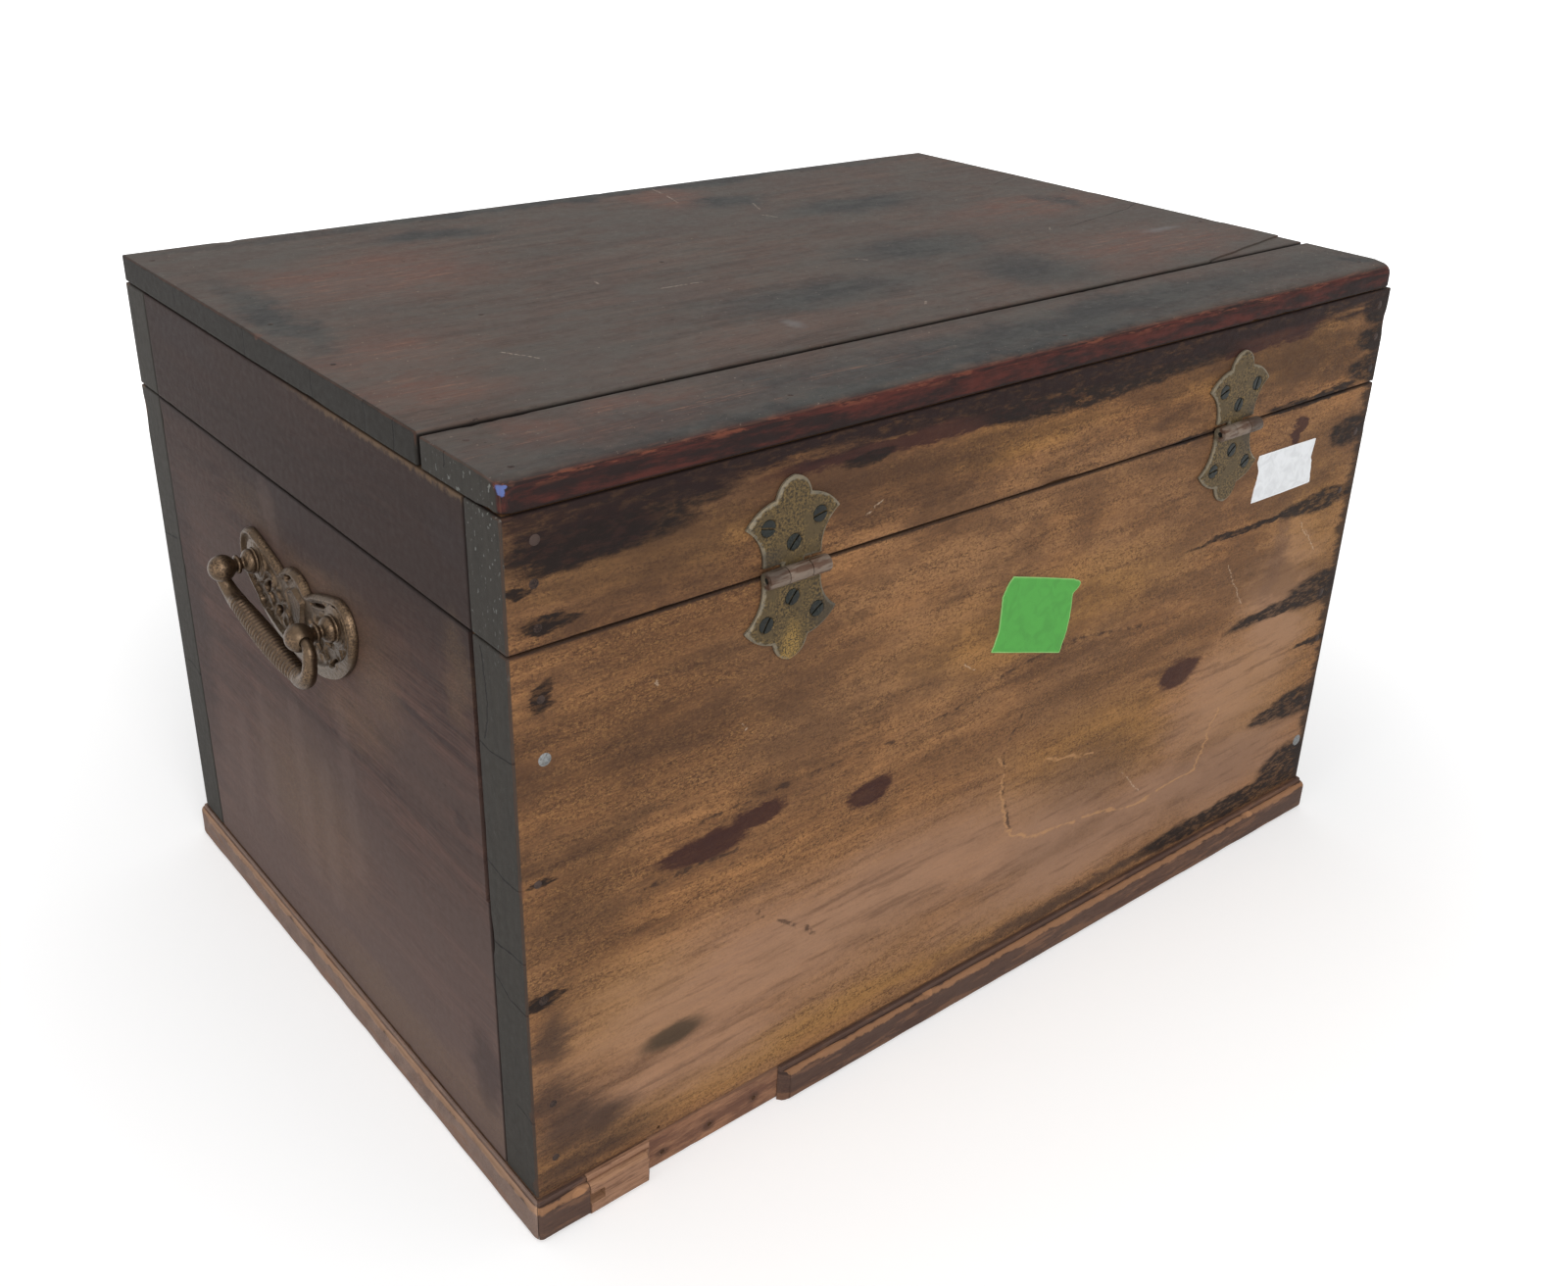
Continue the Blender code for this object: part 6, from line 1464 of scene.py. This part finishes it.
def scroll_relief(across, up):
    """How far the scrolls rise: each a ridge that winds inward to a round tip."""
    relief = np.zeros_like(across)
    for centre_x, centre_z, radius, start, end, rise in SCROLLS:
        away_x, away_z = np.abs(across) - centre_x * PLATE_HALF, up - centre_z * PLATE_HALF
        angle = (np.degrees(np.arctan2(away_z, away_x)) - start) % 360
        share = np.clip(angle / (end - start), 0, 1)
        ring = np.abs(np.hypot(away_x, away_z) - radius * PLATE_HALF * (1 - 0.45 * share))
        curl, way = radius * PLATE_HALF * 0.55, math.radians(end)
        tip = np.hypot(away_x - curl * math.cos(way), away_z - curl * math.sin(way))
        ridge = np.exp(-(ring / 0.75) ** 2) * (angle <= end - start) + 0.9 * np.exp(-(tip / 1.3) ** 2)
        relief = np.maximum(relief, 1.4 * rise * np.minimum(ridge, 1))
    return relief


def plate_height(across, up, inward, clear):
    """The plate's relief: rim, sloping foot, scrolls, shield, rosettes and beads round the piercings."""
    foot_share = step_up(-up, 4.0, 20.0)
    width = HEAD_RIM_WIDTH + (FOOT_RIM_WIDTH - HEAD_RIM_WIDTH) * foot_share
    rim = PLATE_RIM - 1.5 * (1 - step_up(inward, 0.0, 1.1)) * (1 - foot_share)
    rim -= 1.7 * foot_share * (1 - np.clip(inward / width, 0, 1)) ** 1.3
    height = PLATE_FIELD + (rim - PLATE_FIELD) * (1 - step_up(inward, width, width + 0.9))
    height = np.maximum(height, PLATE_FIELD + scroll_relief(across, up))
    height = height + 0.55 * np.exp(-((clear - 0.9) / 0.55) ** 2) - 0.5 * (1 - step_up(clear, 0, 0.5))
    shield = shield_inward(across, up)
    raised = PLATE_FIELD + 1.5 * step_up(shield, -0.1, 0.7) + 0.5 * np.exp(-((shield - 0.9) / 0.45) ** 2)
    height = np.where(shield > -0.1, raised, height)
    for x_sign in (1, -1):
        away = np.hypot(across - x_sign * POST_SPACING, up)
        rosette = PLATE_FIELD * np.ones_like(away) - 0.2
        for radius, rise in ROSETTE_STEPS:
            rosette += rise * (1 - step_up(away, radius - 0.55, radius))
        height = np.where(away < ROSETTE_STEPS[0][0] - 0.3, np.minimum(rosette, PLATE_RIM), height)
    pits = np.array([noise.noise(Vector((x, y, 3.7)) * 0.55) + 0.6 * noise.noise(Vector((x, y, 9.1)) * 1.3)
                     for x, y in zip(across.ravel(), up.ravel())]).reshape(across.shape)
    return np.minimum(height + 0.14 * pits, PLATE_RIM + 0.1)


BAIL_HALF, BAIL_DROP, GRIP_HALF, GRIP_STEPS = 50.5, 18.0, 37.0, 60


def make_bail_tree():
    """A tube along the bail's path, ribbed like a thread along its grip."""
    tree, given, end = new_group("ribbed_bail", "GeometryNodeTree",
                                 [("Path", GEOMETRY, None), ("Step", FLOAT, 0.3 * MM),
                                  ("Sides", "NodeSocketInt", 20), ("Grip Half", FLOAT, GRIP_HALF * MM),
                                  ("Ribs", FLOAT, 24.0), ("Rib Depth", FLOAT, 1.2 * MM),
                                  ("Metal", MATERIAL, None)], [("Bail", GEOMETRY)])
    curve = add_node(tree, "GeometryNodeMeshToCurve", {0: given["Path"]})[0]
    even = add_node(tree, "GeometryNodeResampleCurve", {"Curve": curve, "Length": given["Step"]},
                    mode="LENGTH")[0]
    thickness, grip = own_number(tree, "thickness"), own_number(tree, "grip")
    along = split(add_node(tree, "GeometryNodeInputPosition")[0])[1]
    wave = (maths("COSINE", along / given["Grip Half"] * (given["Ribs"] * math.pi)) + 1.0) * 0.5
    groove = maths("POWER", wave, 1.7) * (given["Rib Depth"] * grip)
    ring = add_node(tree, "GeometryNodeCurvePrimitiveCircle", {0: given["Sides"], "Radius": 1.0})[0]
    values = {"Curve": keep_number(even, "groove", wave * grip), "Profile Curve": ring,
              "Scale": thickness - groove, "Fill Caps": True}
    end_tree(end, add_node(tree, "GeometryNodeCurveToMesh", values)[0], given["Metal"])
    return tree


def bail_arm():
    """(half place, drop, radius) of one arm, from its hook tip in the ball to the grip's end."""
    upper_bend, lower_bend = 4.0, 9.7
    points = [(41.95, 0, 2.0), (44.0, 0, 2.0), (46.5, 0, 2.05)]
    for step in range(1, 9):
        angle = math.radians(90 * step / 8)
        points.append((BAIL_HALF - upper_bend * (1 - math.sin(angle)), upper_bend * (1 - math.cos(angle)),
                       2.05 + 0.85 * step / 8))
    for step in range(13):
        angle = math.radians(90 * step / 12)
        points.append((BAIL_HALF - lower_bend * (1 - math.cos(angle)),
                       BAIL_DROP - lower_bend * (1 - math.sin(angle)), 2.9 + 1.2 * step / 12))
    return points


def bail_path():
    """Places along the whole bail as it hangs, each with its radius and its share of ribs."""
    arm = bail_arm()
    path = [(*point, 0.0) for point in arm]
    for step in range(1, GRIP_STEPS):
        share = 1 - 2 * step / GRIP_STEPS
        swell = 1 - share * share
        path.append((GRIP_HALF * share, BAIL_DROP + 1.5 * swell, 4.0 + 1.1 * swell,
                     min(1.0, (1 - abs(share)) / 0.05)))
    path += [(-half, drop, radius, 0.0) for half, drop, radius in reversed(arm)]
    return [(drop / BAIL_DROP * (-2.0 + 3.0 * half / POST_SPACING), half, -drop, radius, grip)
            for half, drop, radius, grip in path]


def handle_metal(name):
    """Bronze: brown, dark in the grooves between the bail's ribs, crusted grey-green low down."""
    material, surface, place = new_finish(name)
    fine, broad = cloud(place, 1.1, 4.0, 0.7), cloud(place, 0.12, 3.0, 0.6)
    colour = blend(ramp(fine, 0.38, 0.62), tint(108, 88, 68), tint(64, 52, 42))
    colour = blend(ramp(broad, 0.42, 0.62), colour, tint(84, 69, 54))
    low = ramp(split(place)[2] + broad * 14.0, 210.0, 199.0)
    crusted = low * ramp(cloud(place, 0.55, 5.0, 0.75), 0.44, 0.6) * 0.5
    colour = blend(crusted, colour, tint(112, 105, 90))
    colour = blend(carried(place.tree, "groove") * 0.9, colour, tint(40, 30, 25))
    set_inputs(surface, {"Base Color": colour, "Metallic": 0.9 - crusted * 0.8,
                         "Roughness": 0.3 + (fine * 0.2 + crusted * 0.4),
                         "Normal": bump(fine, 0.4, 0.25)})
    return material


handle_bronze = handle_metal("handle_bronze_aged")
bail_tree = make_bail_tree()
plate = cast_plate("handle_plate", plate_outline(), piercing_outlines(), plate_height, PLATE_SEAT, PLATE_GRID)
BALL_REACH, BALL_RADIUS, BALL_HOLE = 18.0, 6.0, 2.4
post_section = [(0.0, BALL_REACH + BALL_RADIUS)]
for angle in range(8, 156, 8):
    post_section.append((BALL_RADIUS * math.sin(math.radians(angle)),
                         BALL_REACH + BALL_RADIUS * math.cos(math.radians(angle))))
post_section += smoothed([(2.7, 12.3), (3.3, 12.2), (4.1, 11.7), (4.2, 11.1), (3.9, 10.5), (2.9, 10.2),
                          (2.6, 9.6), (2.75, 8.9), (3.9, 8.2), (5.0, 7.3), (5.6, 6.2), (5.7, 5.2),
                          (5.5, 4.7), (6.0, 4.4), (6.1, 4.05)], 2, closed=False)
post_section += [(2.0, 4.0), (2.0, -25.2), (0.0, -25.2)]
bail_hole = turned([(0, 3), (BALL_HOLE, 3), (BALL_HOLE, -4.8), (0, -4.8)], 24)
bail_hole.transform(Matrix.Translation((BALL_RADIUS, 0, BALL_REACH))
                    @ Matrix.Rotation(math.radians(90), 4, "Y"))
post = cut_out(turned(post_section, 40), [bail_hole])
path_points = bail_path()
for side, x_sign, half_turn in (("right", 1, 0.0), ("left", -1, math.pi)):
    seat = moved(x_sign * END_X, CASE_Y, HANDLE_Z) @ Matrix.Rotation(half_turn, 4, "Z")
    plate_copy = plate.copy()
    plate_copy.transform(seat @ turned_by(90, 0, 90) @ TO_METRES)
    add_piece(f"handle_{side}_plate_cast", finished_mesh(plate_copy, handle_bronze, SOFT_EDGE), "box",
              [f"handle_{side}_backplate"])
    for label, y_sign, spin in (("rear", 1, 0), ("front", -1, 180)):
        post_copy = post.copy()
        post_copy.transform(seat @ moved(0, y_sign * POST_SPACING, 0) @ turned_by(90, spin, 90) @ TO_METRES)
        add_piece(f"handle_{side}_post_{label}_turned", finished_mesh(post_copy, handle_bronze), "box",
                  [f"handle_{side}_post_{label}"])
        dress(f"handle_{side}_nut_{label}", blued_steel)
    path = bpy.data.meshes.new("bail_path")
    path.from_pydata([metres(point[:3]) for point in path_points],
                     [(step, step + 1) for step in range(len(path_points) - 1)], [])
    for label, number, scale in (("thickness", 3, MM), ("grip", 4, 1)):
        numbers = [point[number] * scale for point in path_points]
        path.attributes.new(label, "FLOAT", "POINT").data.foreach_set("value", numbers)
    bail = grown_mesh(f"handle_{side}_bail_ribbed", bail_tree, {"Metal": handle_bronze}, base=path)
    bail.transform(seat @ moved(BALL_REACH, 0, 0))
    add_piece(f"handle_{side}_bail_ribbed", finished_mesh(bail, handle_bronze, RIB_EDGE), f"bail_{side}",
              [f"handle_{side}_bail"])

# Chest lock: a brass box let into the front wall under the lid, its steel bolt sliding on two
# studs into the loops of the strike above, and an oval brass escutcheon round the keyhole.
lock_brass = metal_finish("lock_brass", (tint(124, 102, 66), tint(88, 70, 46), tint(106, 90, 62)),
                          tint(146, 138, 122), tint(62, 52, 40), roughness=0.45, metallic=0.7, edges=0.0)
for node in ("lock_case", "lock_strike", "keyhole_escutcheon"):
    dress(node, lock_brass)
dress("lock_bolt", blued_steel)

# Tape pieces: a short length of white cloth tape and one of green masking tape stuck on the back,
# both torn off by hand, blank here, with their corners lifting a little.
WHITE_TAPE = [(165.0, 243.5), (164.0, 239.9), (166.3, 235.5), (166.0, 230.6), (164.7, 224.8),
              (164.1, 218.2), (189, 218.0), (214.6, 218.2), (213.2, 230.3), (211.6, 232.8), (212.7, 238.0),
              (213.5, 242.8), (190, 243.2)]
GREEN_TAPE = [(-9.9, 225.8), (-13.0, 222.8), (-16.0, 217.5), (-16.1, 211.0), (-16.5, 200.6), (-20.1, 191.3),
              (3.2, 184.0), (26.5, 176.6), (28.5, 181.9), (30.4, 187.6), (31.5, 195.6), (31.7, 205.8),
              (35.1, 207.9), (36.6, 209.9), (34.9, 211.5), (31.5, 213.2), (10.8, 219.6)]


def torn(outline, ragged=0.35, steps=7):
    """The tape's outline with its torn edges made ragged."""
    made = []
    for start, end in zip(outline, outline[1:] + outline[:1]):
        cut = math.dist(start, end) > CUT_EDGE
        count, shift = (steps * 3, 0.05) if cut else (steps, ragged)
        for step in range(count):
            x = start[0] + (end[0] - start[0]) * (step / count)
            z = start[1] + (end[1] - start[1]) * (step / count)
            made.append((x + shift * noise.noise(Vector((x * 1.3, z * 1.9, 2))),
                         z + shift * noise.noise(Vector((x, z, 8)))))
    return made


def tape_paper(name, colour, thin_colour):
    """Matt tape, a little creased, with painted shade along its creases, lighter where its torn edge thins
    out.
    """
    material, surface, place = new_finish(name)
    wear = place_group(wear_group, {"Place": place, "Width": 0.35, "Ragged": 0.5})["Wear"]
    weave = cloud(place * (3.0, 1.0, 3.0), 1.0, 2.0)
    crease = cloud(place, 0.15, 3.0, 0.6, 1.0)
    # Painted shade: a darker copy of the tape's colour, laid where the crease noise is high
    shaded = (*[0.86 * part for part in colour[:3]], 1)
    shade = blend(wear * 0.8, blend(ramp(crease, 0.35, 0.7), colour, shaded), thin_colour)
    set_inputs(surface, {"Base Color": shade, "Roughness": 0.75, "Normal": bump(weave + crease, 0.3, 0.2)})
    return material


def tape_height(across, up, inward, clear):
    """The tape's face, lifting a little in places."""
    lift = [noise.noise(Vector((x * 0.06, z * 0.06, 5.0))) for x, z in zip(across.ravel(), up.ravel())]
    return 0.22 + 0.1 * np.array(lift).reshape(across.shape)


TAPE_SEAT, TAPE_GRID, CUT_EDGE = -0.35, 0.6, 15
TAPES = (("white_tape", WHITE_TAPE, tint(222, 224, 226), tint(240, 240, 240)),
         ("green_tape", GREEN_TAPE, tint(72, 150, 60), tint(150, 196, 120)))
for name, outline, colour, thin_colour in TAPES:
    mesh = cast_plate(name, torn(outline), (), tape_height, TAPE_SEAT, TAPE_GRID)
    mesh.transform(moved(0, BACK_Y, 0) @ turned_by(90, 0, 180) @ TO_METRES)
    paper = tape_paper(f"{name}_paper", colour, thin_colour)
    add_piece(name, finished_mesh(mesh, paper, SOFT_EDGE), "box")

# Shelf and studio: a plain pale floor under the box, soft window-like lamps, and a
# camera where the photographer stood, looking down on the back right corner.
scene.view_settings.view_transform = "Standard"

CAMERA_PLACE = (482.6 * MM, 587.0 * MM, 514.7 * MM)
CAMERA_TURN = (64.775, -1.589, 140.682)
CAMERA_LENS = 35.846
CAMERA_SHIFT = (-0.00506, -0.04338)
camera_data = bpy.data.cameras.new("camera")
camera_data.sensor_width = 36
camera_data.lens = CAMERA_LENS
camera_data.shift_x, camera_data.shift_y = CAMERA_SHIFT
camera_data.clip_start = 0.01
camera = bpy.data.objects.new("camera", camera_data)
camera.location = CAMERA_PLACE
camera.rotation_euler = Euler([math.radians(turn) for turn in CAMERA_TURN], "XYZ")
scene.collection.objects.link(camera)
scene.camera = camera

FLOOR_REACH, FLOOR_CLEAR, FLOOR_FADED = 40.0, 0.3, 1.1
FLOOR_COLOUR = (0.8, 0.8, 0.8, 1.0)
CAMERA_LIFT = 0.3
floor_mesh = bpy.data.meshes.new("floor")
FLOOR_CORNERS = ((-1, -1), (1, -1), (1, 1), (-1, 1))
floor_mesh.from_pydata([(FLOOR_REACH * x, FLOOR_REACH * y, 0) for x, y in FLOOR_CORNERS], [], [(0, 1, 2, 3)])
floor = bpy.data.objects.new("floor", floor_mesh)
floor_paint, floor_surface, floor_place = new_finish("floor_paint")
seen = add_node(floor_place.tree, "ShaderNodeLightPath")
seen = maths("ADD", seen["Is Camera Ray"], seen["Is Glossy Ray"], clamp=True)
away = maths("LENGTH", floor_place) * MM
lift = seen * ramp(away, FLOOR_CLEAR, FLOOR_FADED, CAMERA_LIFT, 1.0)
set_inputs(floor_surface, {"Base Color": FLOOR_COLOUR, "Roughness": 0.9, "Specular IOR Level": 0.0,
                           "Emission Color": (1, 1, 1, 1), "Emission Strength": lift})
floor_mesh.materials.append(floor_paint)
scene.collection.objects.link(floor)

LAMPS = (("window", (0.9, 2.2, 1.5), 1.8, 46.0), ("ceiling", (0.2, -0.2, 2.6), 2.4, 15.0),
         ("fill", (2.4, 0.2, 1.0), 1.6, 8.0))
for name, lamp_place, size, watts in LAMPS:
    lamp_data = bpy.data.lights.new(name, "AREA")
    lamp_data.shape, lamp_data.size, lamp_data.energy = "DISK", size, watts
    lamp = bpy.data.objects.new(name, lamp_data)
    lamp.location = lamp_place
    lamp.rotation_euler = (Vector((0, 0, 0.15)) - Vector(lamp_place)).to_track_quat("-Z", "Y").to_euler()
    scene.collection.objects.link(lamp)

ROOM_LIGHT = 0.4
world = bpy.data.worlds.new("studio")
world.use_nodes = True
sky_tree = world.node_tree
looked = add_node(sky_tree, "ShaderNodeLightPath")
looked = maths("MAXIMUM", maths("MAXIMUM", looked["Is Camera Ray"], looked["Is Glossy Ray"]),
               looked["Is Transmission Ray"])
set_inputs(sky_tree.nodes["Background"], {"Color": (1, 1, 1, 1),
                                          "Strength": ramp(looked, 0, 1, ROOM_LIGHT, 1.0)})
scene.world = world
